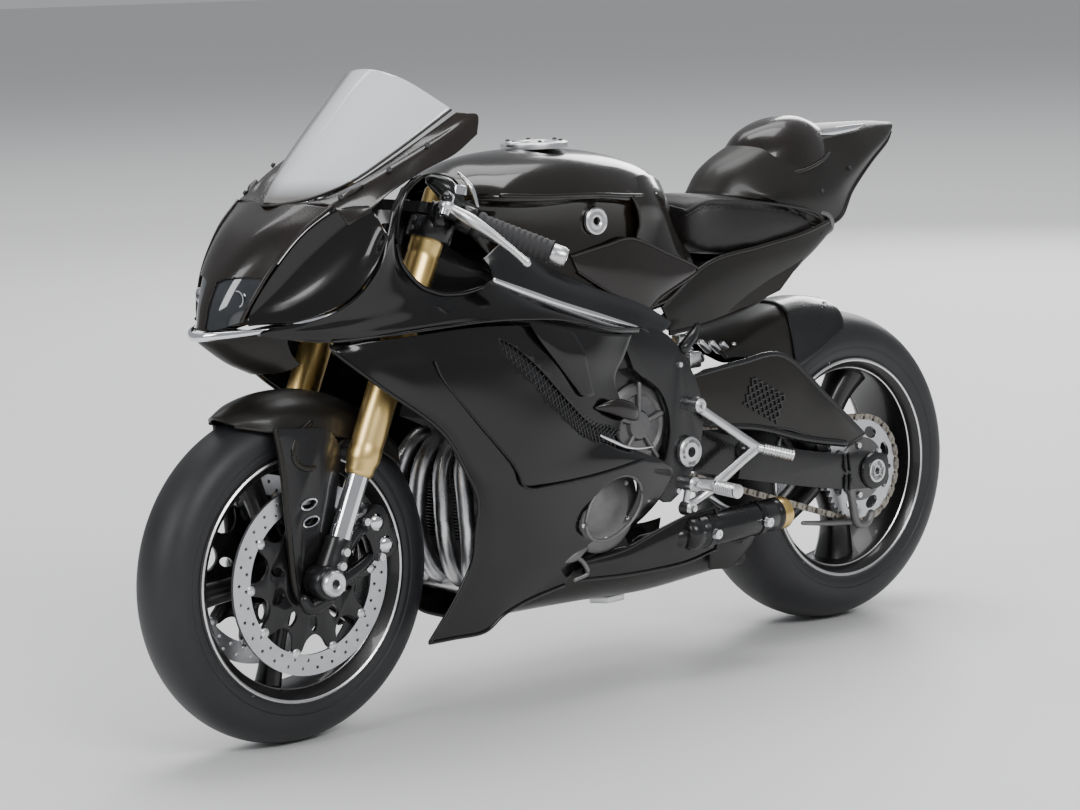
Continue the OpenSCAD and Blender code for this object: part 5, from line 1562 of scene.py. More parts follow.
tank = {
    "wall": 1.2,
    "knee": [
        [(23, 26.2, 162.6), (22, 26.6, 160), (20, 26.6, 156.4)],
        [(6, 27, 165.4), (5, 27.8, 156), (4, 27.2, 147)],
        [(-7, 27.2, 166.8), (-9, 28.2, 153), (-12, 27, 138.8)],
        [(-26, 25.8, 159.8), (-25, 26.8, 150), (-23, 25.8, 143.6)],
        [(-44, 23.6, 152.6), (-43, 24, 151.2), (-41, 23.8, 149.6)],
    ],
    "shoulder": [
        [(-3, 25.4, 187), (-7.6, 28.4, 181), (-11, 27.6, 173), (-9.6, 27, 167)],
        [(-17, 21.4, 189.6), (-19, 26, 181), (-21, 25.4, 171.6), (-19, 26, 162)],
        [(-28, 16.2, 188.6), (-30, 20.6, 180), (-32, 21.6, 170), (-31, 24.4, 157.6)],
        [(-37.4, 11, 186), (-39, 13.8, 178), (-41, 15.6, 168), (-42, 21, 155)],
    ],
    "cap": [(0, 203.7), (3.2, 203.7), (3.6, 203.3), (8.6, 203.3), (9, 203.7), (11.4, 203.7), (12.4, 203.1),
            (12.6, 202.2),
            (12.6, 201.2), (0, 201.2)],
    "capPlace": (16, 0), "capScrews": 6,
    "badge": (11, 26.2, 174.6), "badgeTilt": 0.035,
}


def makeTank(spec):
    body = shape("tankShell", shell(tankGrid, spec["wall"], -1, whole=True, steps=(9, 8)))
    settle(rounded(body, 0.3), "tankGloss", "chassis", ["tank_cover"])
    x, y = spec["capPlace"]
    cap = lathe([(r, z) for r, z in spec["cap"]], (x, y, 0), (0, 0, 1), 72)
    rings = []
    for side in (1, -1):
        bx, by, bz = spec["badge"]
        way = Vector((0.1, side, spec["badgeTilt"])).normalized()
        rings.append(lathe([(1.5, 0.2), (1.5, 1.5), (2.2, 1.9), (3.4, 1.5), (4.4, 1.9), (5, 1.5), (5.1, 0.2)],
                           (bx, side * by, bz), way, 48))
    settle(shape("tankTrim", joined(cap, *rings)), "brightAlloy", "chassis", ["tank_fittings"])
    for n in range(spec["capScrews"]):
        a = 2 * math.pi * n / spec["capScrews"]
        screw("chassis", "darkPlastic", (x + 10.3 * math.cos(a), y + 10.3 * math.sin(a), 203.7), (0, 0, 1),
              0.75)
    hinge = bar([(26.6, -3.4, 203), (28.4, 0, 203.1), (26.6, 3.4, 203)], 1.0, k=5, sides=12)
    settle(shape("tankCapHinge", hinge), "brightAlloy", "chassis")
    hem = [(row[-1][0], row[-1][1] + 0.2, row[-1][2]) for row in tankGrid[1:]]
    settle(shape("tankHem", pair(bar(hem, 0.7, k=7, sides=12))), "tankGloss", "chassis")
    ridge = [(row[2][0], row[2][1] + 0.15, row[2][2] + 0.15) for row in tankGrid[1:6]]
    settle(shape("tankShoulder", pair(bar(ridge, 0.8, k=7, sides=12))), "tankGloss", "chassis")
    knees = shape("tankKnees", pair(shell(spec["knee"], 1.2, -1, steps=(8, 7))))
    # tank knees take the brown-tinted gloss: painted brown reflection
    settle(rounded(knees, 0.3), "brownReflectionGloss", "chassis")
    rear = shape("tankRearShoulders", pair(shell(spec["shoulder"], 1.2, -1, steps=(8, 7))))
    settle(rounded(rear, 0.3), "tankGloss", "chassis")
    kneeRim = [row[0] for row in spec["knee"]] + [spec["knee"][-1][2]]
    kneeRim += [row[2] for row in spec["knee"][-2::-1]]
    settle(shape("kneeRims", pair(bar(kneeRim, 0.55, k=4, sides=10))), "brownReflectionGloss", "chassis")
    crease = spec["shoulder"][0]
    settle(shape("tankCreases", pair(bar(crease, [0.5, 0.9, 0.9, 0.4], k=8, sides=12))), "tankGloss",
           "chassis")


makeTank(tank)


# seat: a cloth pad that swells inside its cap, then piping and stitches

seatPad = {
    # x, half width, lowest and highest, each at one station
    "stations": [(-48.6, 14.5, 160, 176.6), (-55, 19.4, 156, 179.8), (-67, 22.6, 154.8, 179),
                 (-83, 23.6, 155.8, 177),
                 (-100, 23.2, 157.6, 174.2), (-112, 21.8, 159.4, 171.6), (-118, 19, 161.6, 168.8)],
    "voxel": 2.0, "pressure": 4.0, "cap": 1.6, "frames": 20,
    "piping": 0.55, "stitchRadius": 0.22,
}


def seatSection(station, inset=0.0):
    x, half, low, high = station
    half -= inset
    low += inset
    high -= inset
    mid = (low + high) / 2
    points = [(0, low), (half * 0.7, low), (half * 0.97, low + 1), (half, mid - 0.6), (half * 0.97, high - 4),
              (half * 0.84, high - 1.2), (half * 0.4, high - 0.1), (0, high)]
    whole = [(y, z) for y, z in points] + [(-y, z) for y, z in reversed(points[1:-1])]
    return [(x, y, z) for y, z in whole]


def puff(piece, spec):
    remesh = piece.modifiers.new("voxels", "REMESH")
    remesh.mode = "VOXEL"
    remesh.voxel_size = spec["voxel"] * mm
    bake(piece)
    start = [v.co.copy() for v in piece.data.vertices]
    cloth = piece.modifiers.new("swell", "CLOTH")
    cloth.settings.use_pressure = True
    cloth.settings.uniform_pressure_force = spec["pressure"]
    cloth.settings.effector_weights.gravity = 0
    cloth.settings.tension_stiffness = 20
    cloth.settings.compression_stiffness = 20
    cloth.point_cache.frame_start = 1
    cloth.point_cache.frame_end = spec["frames"]
    scene = bpy.context.scene
    for f in range(1, spec["frames"] + 1):
        scene.frame_set(f)
    bake(piece)
    scene.frame_set(1)
    limit = spec["cap"] * mm
    for v, place in zip(piece.data.vertices, start):
        move = v.co - place
        if move.length > limit:
            v.co = place + move.normalized() * limit
    relax = piece.modifiers.new("relax", "SMOOTH")
    relax.factor = 0.5
    relax.iterations = 3
    bake(piece)
    smooth = piece.modifiers.new("round", "SUBSURF")
    smooth.levels = 1
    smooth.render_levels = 1
    return bake(piece)


def makeSeat(spec):
    sections = refine([tuple(c for p in seatSection(s, 0.8) for c in p) for s in spec["stations"]], 6)
    rings = [[flat[i:i + 3] for i in range(0, len(flat), 3)] for flat in sections]
    n = len(rings[0])
    verts = [p for ring in rings for p in ring]
    faces = [(i * n + k, i * n + (k + 1) % n, (i + 1) * n + (k + 1) % n, (i + 1) * n + k)
             for i in range(len(rings) - 1) for k in range(n)]
    faces += [tuple(range(n)), tuple((len(rings) - 1) * n + k for k in range(n))]
    pad = puff(shape("seatCushion", (verts, faces)), spec)
    settle(pad, "seatVinyl", "chassis", ["seat"], angle=80)
    edge = [(x, half * 0.95 + 0.9, high - 2.8) for x, half, low, high in spec["stations"]]
    front = [(edge[0][0] + 0.9, edge[0][1] * f, edge[0][2] + 2.0 * (1 - f)) for f in (-0.9, -0.5, 0, 0.5,
                                                                                      0.9)]
    back = [(edge[-1][0] - 1.0, edge[-1][1] * f, edge[-1][2] + 1.4 * (1 - f)) for f in (0.9, 0.5, 0, -0.5,
                                                                                        -0.9)]
    left = edge
    right = [(x, -y, z) for x, y, z in reversed(edge)]
    loop = refine(front + left + back + right + front[:1], 4)
    settle(shape("seatPiping", tube(loop, spec["piping"], 10)), "seatVinyl", "chassis")
    rows = []
    line = refine(edge, 8)
    for i in range(0, len(line) - 1, 2):
        way = Vector(line[i + 1]) - Vector(line[i])
        for side in (1, -1):
            x, y, z = line[i]
            rows.append(((x, side * (y + 0.1), z - 1.9), (way.x, side * way.y, way.z), 1.0))
    thread = grow("seatStitches", wireTree, {"Wire Radius": spec["stitchRadius"] * mm,
                                             "Wire Length": 1.5 * mm,
                                             "Material": finish("satinPlastic")},
                                             pointCloud("stitchPoints", rows))
    settle(thread, "satinPlastic", "chassis")


makeSeat(seatPad)
print("tank and seat ready")


# tail with its hump, bright edge and light

tailPiece = {
    "wall": 1.2,
    "foot": [(-68, 0, 178.4), (-71, 9, 178), (-80, 15.4, 176.4), (-92, 19.6, 174), (-108, 20, 168.4)],
    "hump": [
        [(-88, 0, 190.6), (-89, 5, 189.6), (-91, 9.4, 187), (-93, 11.4, 183.4)],
        [(-95, 0, 199.6), (-96, 7, 198.4), (-98, 13.4, 192.6), (-100, 16, 184)],
        [(-107, 0, 204.6), (-108, 8, 203.2), (-110, 15.4, 196.4), (-111, 18.4, 185.4)],
        [(-120, 0, 206), (-121, 7.6, 204.4), (-122, 13.8, 198), (-123, 16.6, 188.4)],
        [(-131, 0, 203.8), (-131.4, 5, 202.2), (-132, 9.4, 198.2), (-132.6, 12.4, 191.6)],
    ],
    "edge": [(-126, 13.4, 198.6), (-134, 12.6, 199), (-143, 11.2, 199.4), (-152, 9.4, 199.8),
             (-160, 6.6, 200.4)],
    "edgeRadius": [0.5, 1.5, 1.5, 1.1, 0.3],
    "strut": [
        [(-26, 22.8, 139), (-28, 23.2, 134), (-30, 22.6, 128.6)],
        [(-50, 23.4, 153.6), (-54, 24, 144.6), (-52, 22.8, 130.6)],
        [(-79, 24, 157.8), (-82, 23.8, 149), (-78, 20.6, 135.4)],
        [(-103, 23.6, 160.8), (-106, 22.6, 152), (-98, 18.6, 143.6)],
        [(-120, 22, 164.4), (-124, 20.6, 161), (-122, 17.6, 158.6)],
    ],
}


def makeTail(spec):
    rows = [spec["foot"]] + [list(r) for r in tailGrid]
    rows[1][4], rows[2][4], rows[3][4] = (-108, 20.6, 165.4), (-119, 19.6, 162.4), (-133, 17, 165.2)
    tail = shape("tailShell", shell(rows, spec["wall"], -1, whole=True, steps=(8, 7)))
    settle(rounded(tail, 0.25), "satinPlastic", "chassis", ["tail_cowl"])
    hump = shape("tailHump", shell(spec["hump"], 1.4, -1, whole=True, steps=(8, 7)))
    # tail hump takes the brown-tinted gloss: painted brown reflection
    settle(rounded(hump, 0.4), "brownReflectionGloss", "chassis", ["tail_pad"])
    settle(shape("tailBrightEdge", pair(bar(spec["edge"], spec["edgeRadius"], k=6, flat=0.5))),
           "polishedChrome",
           "chassis")
    hem = [(x, y + 0.3, z) for x, y, z in spec["hump"][0]] + [(r[3][0], r[3][1] + 0.3,
                                                               r[3][2]) for r in spec["hump"][1:]]
    settle(shape("tailHumpEdge", pair(bar(hem, 0.7, k=5, sides=12))), "brownReflectionGloss", "chassis")
    struts = shape("tailStruts", pair(shell(spec["strut"], 1.1, -1, steps=(8, 6))))
    settle(rounded(struts, 0.25), "satinPlastic", "chassis")
    for column, name in ((0, "tailStrutUpper"), (2, "tailStrutLower")):
        line = [row[column] for row in spec["strut"]]
        settle(shape(name, pair(bar(line, 0.8, k=6, sides=12))), "satinPlastic", "chassis")
    hem = [(r[4][0], r[4][1], r[4][2]) for r in rows]
    settle(shape("tailHem", pair(bar(hem, 0.75, k=6, sides=12))), "satinPlastic", "chassis")
    lens = bar([(-178.6, 0, 196.6), (-180.4, 0, 195.8), (-181.4, 0, 195.6)], [1.9, 1.7, 0.9], flat=1.0,
               sides=20)
    settle(shape("tailLens", lens), "redLens", "chassis", ["tail_light"])
    lower = bar([(-119, 0, 160), (-112, 0, 155), (-98, 0, 149), (-84, 0, 144)], [4, 5.4, 5.4, 4], flat=3.2,
                sides=24,
                k=6)
    settle(shape("tailUndertray", lower), "satinPlastic", "chassis")
    loop = bar([(-118, 19.4, 168), (-122.4, 20.4, 166), (-124, 19.6, 161.4), (-120, 18.8, 159)], 1.2, k=6,
               sides=14)
    settle(shape("tailLatch", pair(loop)), "castMetal", "chassis")
    for place in ((-118, 20.6, 176.6), (-140, 15.8, 184)):
        screwPair("chassis", "darkPlastic", place, (0, 1, 0.1), 0.8)


makeTail(tailPiece)


# rear hugger with its clamp band

hugger = {"wall": 1.2, "bandRows": (0, 3), "bandLift": 0.9}


def makeHugger(spec):
    skin = shape("huggerShell", shell(huggerGrid, spec["wall"], 1, whole=True, steps=(9, 8)))
    settle(rounded(skin, 0.25), "satinPlastic", "swingarm", ["hugger"])
    low, high = spec["bandRows"]
    band = shape("huggerBand", shell(huggerGrid[low:high], 1.0, 1, whole=True, steps=(9, 8),
                                     lift=spec["bandLift"]))
    settle(rounded(band, 0.3), "framePaint", "swingarm")
    for row in (0, -1):
        line = [(x, -y, z) for x, y, z in reversed(huggerGrid[row][1:])] + [tuple(p) for p in huggerGrid[row]]
        name = "huggerRearHem" if row == 0 else "huggerFrontHem"
        settle(shape(name, bar(line, 0.8, k=5, sides=12)), "satinPlastic", "swingarm")
    screwPair("swingarm", "brightAlloy", (-126, 13.4, 130.4), (-0.2, 0.6, 0.8), 1.0)


makeHugger(hugger)
print("tail and hugger ready")


# swingarm, its cover, axle blocks and chain guide

arm = {
    "outline": [(-20.6, 84), (-23, 91), (-30, 93.4), (-52, 88), (-88, 78), (-120, 71.6), (-142, 69.4),
                (-145, 63),
                (-142, 56.4), (-120, 57.4), (-90, 63), (-58, 70), (-32, 76.4), (-23, 78)],
    "cover": [(-38, 111.6), (-64, 114.2), (-87.8, 114.3), (-112, 95.6), (-134, 78), (-121, 75.2),
              (-104, 80), (-88, 85.6),
              (-66, 88.8), (-40, 93.4)],
    "patch": {"centre": (-76, 98.4), "size": (22, 13), "turn": 28},
}


def makeArm(spec):
    outline = closedCurve(spec["outline"], 3)
    rear = [p for p in outline if p[0] < -52]
    solids = [plate(outline, 24.8, 27.2), plate(outline, -27.2, -24.8)]
    solids += [plate(rear, 27.2, 29.4), plate(rear, -29.4, -27.2)]
    sides = shape("swingarmSides", joined(*solids))
    settle(rounded(sides, 0.8, 3), "framePaint", "swingarm", ["swingarm"])
    frames = []
    frames.append(bar([(-63.5, -25.4, 79.6), (-63.5, 0, 80.4), (-63.5, 25.4, 79.6)], [5.2, 4.6, 5.2], k=8,
                      sides=20))
    frames.append(lathe([(3.7, 23.6), (5.4, 23.6), (6, 24.2), (6, 26.4), (3.7, 26.4)], (-28, 0, 84.6),
                        steps=40))
    frames.append(lathe([(3.7, -23.6), (5.4, -23.6), (6, -24.2), (6, -26.4), (3.7, -26.4)], (-28, 0, 84.6),
                        steps=40))
    for y in (4.4, -4.4):
        frames.append(bar([(-64, y, 80), (-60, y, 93), (-58, y, 103)], [2.6, 2.2, 2.4], flat=0.35, sides=16))
    frames.append(lathe([(0, -4.8), (1, -4.8), (1, 4.8), (0, 4.8)], (-58, 0, 103), steps=20))
    frames.append(bar([(-52, 26, 91), (-74, 26.4, 87.4), (-98, 26.6, 80.4), (-122, 26.6, 75.4)], 1.5, k=6,
                      sides=14))
    frames.append(bar([(-52, -26, 91), (-74, -26.4, 87.4), (-98, -26.6, 80.4), (-122, -26.6, 75.4)], 1.5,
                      k=6))
    settle(shape("swingarmFrame", joined(*frames)), "framePaint", "swingarm")
    hook = bar([(-124, 27.4, 58), (-125.6, 27.2, 50), (-128, 27, 42.4), (-134, 26.8, 41.6), (-137, 26.8, 45)],
               [1.6, 1.6, 1.6, 1.7, 1.6], k=6, flat=1.1, sides=14)
    guide = bar([(-126, 25.6, 43), (-112, 25.6, 44.4), (-98, 25.6, 46.4)], [1.3, 1.1, 0.9], k=6, sides=14)
    settle(shape("chainGuide", joined(hook, guide)), "castMetal", "swingarm")
    blocks, nuts = [], []
    for side in (1, -1):
        blocks.append(lathe([(3.05, side * 29.2), (7.2, side * 29.2), (7.6, side * 29.8), (7.2, side * 30.6),
                             (5.2, side * 30.9), (3.05, side * 30.9)], rearAxle, steps=48))
        nuts.append(lathe([(1.6, side * 30.6), (4.7, side * 30.6), (4.7, side * 31), (4.2, side * 31.6),
                           (2.2, side * 31.6), (1.6, side * 31.2)], rearAxle, steps=6))
        for x in (-121.4, -118.6):
            blocks.append(bar([(x, side * 29.6, 57.4), (x - 0.4, side * 29.8, 64), (x, side * 29.6, 71.4)],
                              0.8, k=3,
                              sides=12))
        blocks.append(bar([(-143.4, side * 27, 63), (-147.6, side * 27, 63)], [1.4, 1.1], k=3, sides=12))
    settle(shape("axleBlocks", joined(*blocks)), "framePaint", "swingarm")
    settle(shape("rearAxleNuts", joined(*nuts)), "brightAlloy", "swingarm", angle=25)
    covers = shape("swingarmCoverPlate", plate(closedCurve(spec["cover"], 3), 24.9, 26.9))
    settle(rounded(covers, 0.5), "satinPlastic", "swingarm", ["swingarm_cover"])
    rim = [(x, 26.2, z) for x, z in spec["cover"]]
    flange = bar(rim[:5], [0.8, 1.2, 1.2, 1.2, 0.7], k=6, sides=14)
    lower = bar(rim[4:], 0.8, k=6, sides=14)
    settle(shape("coverFlange", joined(flange, lower)), "framePaint", "swingarm")
    patch = spec["patch"]
    wide, tall = patch["size"]
    t = math.radians(patch["turn"])
    cells = []
    for i in range(12):
        for j in range(7):
            p, q = (i / 11 - 0.5) * (wide - 3), (j / 6 - 0.5) * (tall - 3)
            x = patch["centre"][0] + p * math.cos(t) - q * math.sin(t)
            z = patch["centre"][1] + p * math.sin(t) + q * math.cos(t)
            lean = 0.9 if (i + j) % 2 == 0 else -0.5
            cells.append(((x, 27.1, z), (math.cos(t + lean), 0, math.sin(t + lean)), 1.0))
    knurl = grow("coverPatch", wireTree, {"Wire Radius": 0.5 * mm, "Wire Length": 2.6 * mm,
                                          "Material": finish("framePaint")}, pointCloud("patchPoints", cells))
    settle(knurl, "framePaint", "swingarm")


makeArm(arm)


# sprockets and the drive chain

chain = {"pitch": 2.96, "front": 7.59, "rear": 21.2, "plane": 22.0, "drive": (-28, 84.6), "wheel": (-136, 63),
         "plateHigh": 2.3, "plateThick": 0.5, "gap": 0.75}


def chainPath(spec):
    (x1, z1), (x2, z2) = spec["drive"], spec["wheel"]
    r1, r2 = spec["front"], spec["rear"]
    reachLength = math.hypot(x2 - x1, z2 - z1)
    way = math.atan2(z2 - z1, x2 - x1)
    lean = math.acos((r1 - r2) / reachLength)
    points = []

    def sweep(cx, cz, r, a, b, steps):
        for i in range(steps + 1):
            t = a + (b - a) * i / steps
            points.append((cx + r * math.cos(t), cz + r * math.sin(t)))

    sweep(x1, z1, r1, way + lean, way + 2 * math.pi - lean, 40)
    sweep(x2, z2, r2, way - lean, way + lean, 80)
    points.append(points[0])
    total = sum(math.dist(a, b) for a, b in zip(points, points[1:]))
    count = 2 * round(total / spec["pitch"] / 2)
    step = total / count
    found, walked, k = [], 0.0, 0
    for n in range(count):
        goal = n * step
        while walked + math.dist(points[k], points[k + 1]) < goal:
            walked += math.dist(points[k], points[k + 1])
            k += 1
        t = (goal - walked) / max(math.dist(points[k], points[k + 1]), 1e-9)
        found.append(tuple(p + (q - p) * t for p, q in zip(points[k], points[k + 1])))
    return found


def makeLinkTree():
    tree, given, result = startTree("chainLinks", [
        ("Length", "NodeSocketFloat", 4.6 * mm), ("Height", "NodeSocketFloat", 2.3 * mm),
        ("Thickness", "NodeSocketFloat", 0.5 * mm), ("Material", "NodeSocketMaterial", None)])
    outline = tree.nodes.new("GeometryNodeCurvePrimitiveQuadrilateral")
    outline.mode = "RECTANGLE"
    link(tree, given.outputs["Length"], outline.inputs[0])
    link(tree, given.outputs["Height"], outline.inputs[1])
    fillet = tree.nodes.new("GeometryNodeFilletCurve")
    fillet.mode = "POLY"
    fillet.inputs["Count"].default_value = 3
    half = tree.nodes.new("ShaderNodeMath")
    half.operation = "MULTIPLY"
    half.inputs[1].default_value = 0.48
    link(tree, given.outputs["Height"], half.inputs[0])
    link(tree, outline.outputs[0], fillet.inputs["Curve"])
    link(tree, half.outputs[0], fillet.inputs["Radius"])
    fill = tree.nodes.new("GeometryNodeFillCurve")
    fill.mode = "NGONS"
    link(tree, fillet.outputs[0], fill.inputs[0])
    thick = tree.nodes.new("GeometryNodeExtrudeMesh")
    link(tree, fill.outputs[0], thick.inputs["Mesh"])
    link(tree, given.outputs["Thickness"], thick.inputs["Offset Scale"])
    back = tree.nodes.new("GeometryNodeFlipFaces")
    link(tree, fill.outputs[0], back.inputs[0])
    both = tree.nodes.new("GeometryNodeJoinGeometry")
    link(tree, thick.outputs["Mesh"], both.inputs[0])
    link(tree, back.outputs[0], both.inputs[0])
    weld = tree.nodes.new("GeometryNodeMergeByDistance")
    weld.inputs["Distance"].default_value = 0.00001
    link(tree, both.outputs[0], weld.inputs["Geometry"])
    turn = tree.nodes.new("GeometryNodeTransform")
    turn.inputs["Rotation"].default_value = (math.radians(90), math.radians(90), 0)
    link(tree, weld.outputs[0], turn.inputs["Geometry"])
    return endTree(tree, given, result, aimedInstances(tree, given, turn.outputs["Geometry"]))


linkTree = makeLinkTree()


def makeChain(spec):
    path = chainPath(spec)
    count = len(path)
    rows, pins = [], []
    for n in range(count):
        a, b = path[n], path[(n + 1) % count]
        mid = ((a[0] + b[0]) / 2, (a[1] + b[1]) / 2)
        way = (b[0] - a[0], 0, b[1] - a[1])
        wide = spec["gap"] + (0.5 if n % 2 else 0)
        for side in (1, -1):
            rows.append(((mid[0], spec["plane"] + side * wide, mid[1]), way, 1.0))
        pins.append(((a[0], spec["plane"], a[1]), (0, 1, 0), 1.0))
    plates = grow("chainPlates", linkTree, {"Length": (spec["pitch"] + 1.9) * mm,
                                            "Height": spec["plateHigh"] * mm,
                                            "Thickness": spec["plateThick"] * mm,
                                            "Material": finish("chainSteel")},
                  pointCloud("linkPoints", rows))
    settle(plates, "chainSteel", "swingarm", ["drive_chain"])
    rollers = grow("chainRollers", wireTree, {"Wire Radius": 0.75 * mm, "Wire Length": 3.0 * mm,
                                              "Material": finish("chainSteel")},
                                              pointCloud("pinPoints", pins))
    settle(rollers, "chainSteel", "swingarm")


makeChain(chain)

sprocket = {"teeth": 45, "root": 20.0, "tip": 21.4, "plane": 22, "thick": 1.5, "windows": 8, "windowAt": 15.4,
            "windowLong": 3.6, "windowShort": 2.3, "bolts": 5, "boltAt": 10.6}


def makeSprocket(spec):
    outline = shifted(gearRing(spec["teeth"], spec["root"], spec["tip"]), (rearAxle[0], rearAxle[2]))
    y = spec["plane"]
    wheel = shape("rearSprocketPlate", plate(outline, y - spec["thick"] / 2, y + spec["thick"] / 2))
    cutters = []
    for n in range(spec["windows"]):
        a = 360 * (n + 0.5) / spec["windows"]
        r = spec["windowAt"]
        centre = (rearAxle[0] + r * math.cos(math.radians(a)), rearAxle[2] + r * math.sin(math.radians(a)))
        cutters.append(plate(oval(centre, spec["windowLong"], spec["windowShort"], a + 90, 20), 15, 30))
    cutAway(wheel, lathe([(0, 15), (8.6, 15), (8.6, 30), (0, 30)], rearAxle, steps=40), *cutters)
    settle(rounded(wheel, 0.2, 1), "discSteel", "rear_wheel", ["rear_sprocket"], angle=30)
    hub = lathe([(3.1, 17.2), (9, 17.2), (9, 20.4), (12.4, 20.8), (12.8, 21.2), (12.8, 23.2), (12.2, 23.8),
                 (6, 24.2),
                 (3.1, 24.2)], rearAxle, steps=56)
    settle(shape("sprocketHub", hub), "castMetal", "rear_wheel")
    for n in range(spec["bolts"]):
        a = 2 * math.pi * n / spec["bolts"]
        screw("rear_wheel", "brightAlloy", (rearAxle[0] + spec["boltAt"] * math.cos(a), 24.1,
                                            rearAxle[2] + spec["boltAt"] * math.sin(a)), (0, 1, 0), 1.2)


makeSprocket(sprocket)
print("swingarm and chain ready")


# frame skin, pivot ring and castings

frameSkin = {
    "spar": [
        [(70, 31, 166), (70, 34.6, 163), (69.6, 36, 158.6)],
        [(55, 29, 171), (55, 33.6, 162.4), (54, 35, 152.8)],
        [(37, 28.4, 160.6), (37, 33, 154), (37, 34.6, 146.8)],
        [(15, 28.2, 151), (16, 32, 146), (16.4, 33.6, 140.2)],
        [(-10, 28.8, 142), (-6, 31.6, 139), (-2, 33, 134.6)],
        [(-25, 28.6, 134), (-21, 30.4, 132), (-13, 31.8, 129.6)],
    ],
    "plate": [(5, 133), (-9, 134), (-20, 129.4), (-28, 121), (-35.5, 107), (-36.8, 91.5), (-30.6, 76.9),
              (-19, 66.4),
              (-10, 72), (-17, 84), (-19.4, 98), (-14, 110), (-1, 119)],
    "casting": (-6, 97), "castingRadius": 15.8,
}


def makeFrameSkin(spec):
    spar = shape("sparSkins", pair(shell(spec["spar"], 1.0, -1, steps=(8, 7))))
    settle(rounded(spar, 0.25), "framePaint", "chassis")
    edge = [(x + 0.2, y + 0.7, z - 0.2) for x, y, z in [row[2] for row in spec["spar"][:5]]]
    settle(shape("sparBrightEdge", pair(bar(edge, [1.0, 1.5, 1.5, 1.5, 0.8], k=7, flat=0.8))),
           "polishedChrome",
           "chassis")
    outline = closedCurve(spec["plate"], 3)
    plates = joined(plate(outline, 30.6, 32.2), plate(outline, -32.2, -30.6))
    pivots = shape("pivotPlates", plates)
    hole = lathe([(0, 29), (5.2, 29), (5.2, 34), (0, 34)], (-28, 0, 84.6), steps=32)
    cutAway(pivots, hole, mirrored(hole))
    settle(rounded(pivots, 0.5, 3), "framePaint", "chassis")
    x, z = spec["casting"]
    r = spec["castingRadius"]
    castings = []
    for side in (1, -1):
        castings.append(lathe([(0, side * 29.6), (5, side * 29.8), (6, side * 28.6), (11, side * 28.4),
                               (12, side * 29.4), (r - 1.4, side * 29), (r, side * 27.6), (r, side * 22),
                               (0, side * 22)], (x, 0, z), steps=64))
        for n in range(5):
            a = math.radians(20 + 72 * n)
            castings.append(bar([(x + 5 * math.cos(a), side * 28.9, z + 5 * math.sin(a)),
                                 (x + 15.4 * math.cos(a), side * 28.9, z + 15.4 * math.sin(a))], [1.1, 1.4],
                                 k=3,
                                sides=10))
    settle(shape("gearCastings", joined(*castings)), "castMetal", "chassis")
    rings = []
    for side in (1, -1):
        rings.append(lathe([(2.1, side * 32.2), (5.6, side * 32.2), (5.8, side * 32.8), (5.8, side * 34),
                            (5.2, side * 34.6), (3.6, side * 34.6), (3.2, side * 33.8), (2.1, side * 33.6)],
                           (-28, 0, 84.6), steps=48))
    settle(shape("pivotRings", joined(*rings)), "brightAlloy", "chassis")
    for place in ((-25, 32.2, 118), (-33.4, 32.2, 104), (-22, 32.2, 70.4)):
        screwPair("chassis", "brightAlloy", place, (0, 1, 0), 1.0)
    web = [(-14, 128), (10, 133), (20, 124), (16, 104), (-2, 100), (-22, 112)]
    webs = shape("frameWebs", joined(plate(web, 25.4, 26.8), plate(web, -26.8, -25.4)))
    settle(rounded(webs, 0.4), "rimPaint", "chassis")
    lug = bar([(-28, 31.6, 124), (-33, 31.4, 128), (-38, 29, 131)], [2.4, 2.0, 1.4], k=5)
    settle(shape("frameLugs", pair(lug)), "framePaint", "chassis")


makeFrameSkin(frameSkin)


# rearsets and their pegs

rearset = {
    "arms": [
        ([(-31.6, 33.4, 102), (-38, 34.2, 97.6), (-60.9, 37, 82.4)], [2.3, 1.8, 2.0], 0.7),
        ([(-60.9, 37, 82.4), (-50, 36.6, 77), (-38, 36, 70.5)], [2.0, 2.1, 2.6], 0.7),
        ([(-38, 36, 70.5), (-33, 35, 71.6), (-27.6, 33.4, 72.4)], [2.6, 2.4, 2.8], 0.9),
        ([(-38, 35.6, 69.6), (-31.6, 34, 66), (-25.6, 33, 63.4)], [2.0, 1.7, 2.4], 0.9),
        ([(-27.6, 33.4, 72.4), (-26, 33.2, 68), (-25.6, 33, 63.4)], [1.6, 1.3, 1.6], 0.9),
    ],
    "pegs": [((-60.9, 37.4, 82.4), (-72.2, 45.6, 78.6), 2.1), ((-37.6, 36.4, 70.4), (-37, 50, 69.8), 2.7)],
}


def makeRearsets(spec):
    arms = [bar(points, radius, k=6, flat=flat, sides=18) for points, radius, flat in spec["arms"]]
    for a, b, r in spec["pegs"]:
        way = Vector(b) - Vector(a)
        length = way.length
        profile = [(0, 0), (r * 0.8, 0), (r * 0.8, 2)]
        for n in range(int((length - 3.4) / 1.1)):
            s = 2.2 + n * 1.1
            profile += [(r * 0.9, s), (r, s + 0.2), (r, s + 0.7), (r * 0.9, s + 0.9)]
        profile += [(r * 0.9, length - 1.2), (r, length - 1), (r, length - 0.3), (r * 0.7, length),
                    (0, length)]
        arms.append(lathe(profile, a, way, 24))
    for x, z, r in ((-31.6, 102, 2.8), (-27.6, 72.4, 3.0), (-25.6, 63.4, 2.8), (-38, 70.5, 2.6)):
        arms.append(lathe([(0, 31.8), (r, 31.8), (r, 36.4), (r * 0.8, 37), (0, 37)], (x, 0, z), steps=24))
    settle(shape("rearsetArms", pair(joined(*arms))), "brightAlloy", "chassis", ["rearsets"])
    for x, z in ((-31.6, 102), (-27.6, 72.4), (-25.6, 63.4)):
        screwPair("chassis", "brightAlloy", (x, 37.1, z), (0, 1, 0), 1.1)
    rod = bar([(-38, 33.6, 66), (-48, 33.4, 60), (-60, 32.6, 58)], 1.1, k=6, sides=12)
    settle(shape("brakeRods", pair(rod)), "brightAlloy", "chassis")


makeRearsets(rearset)


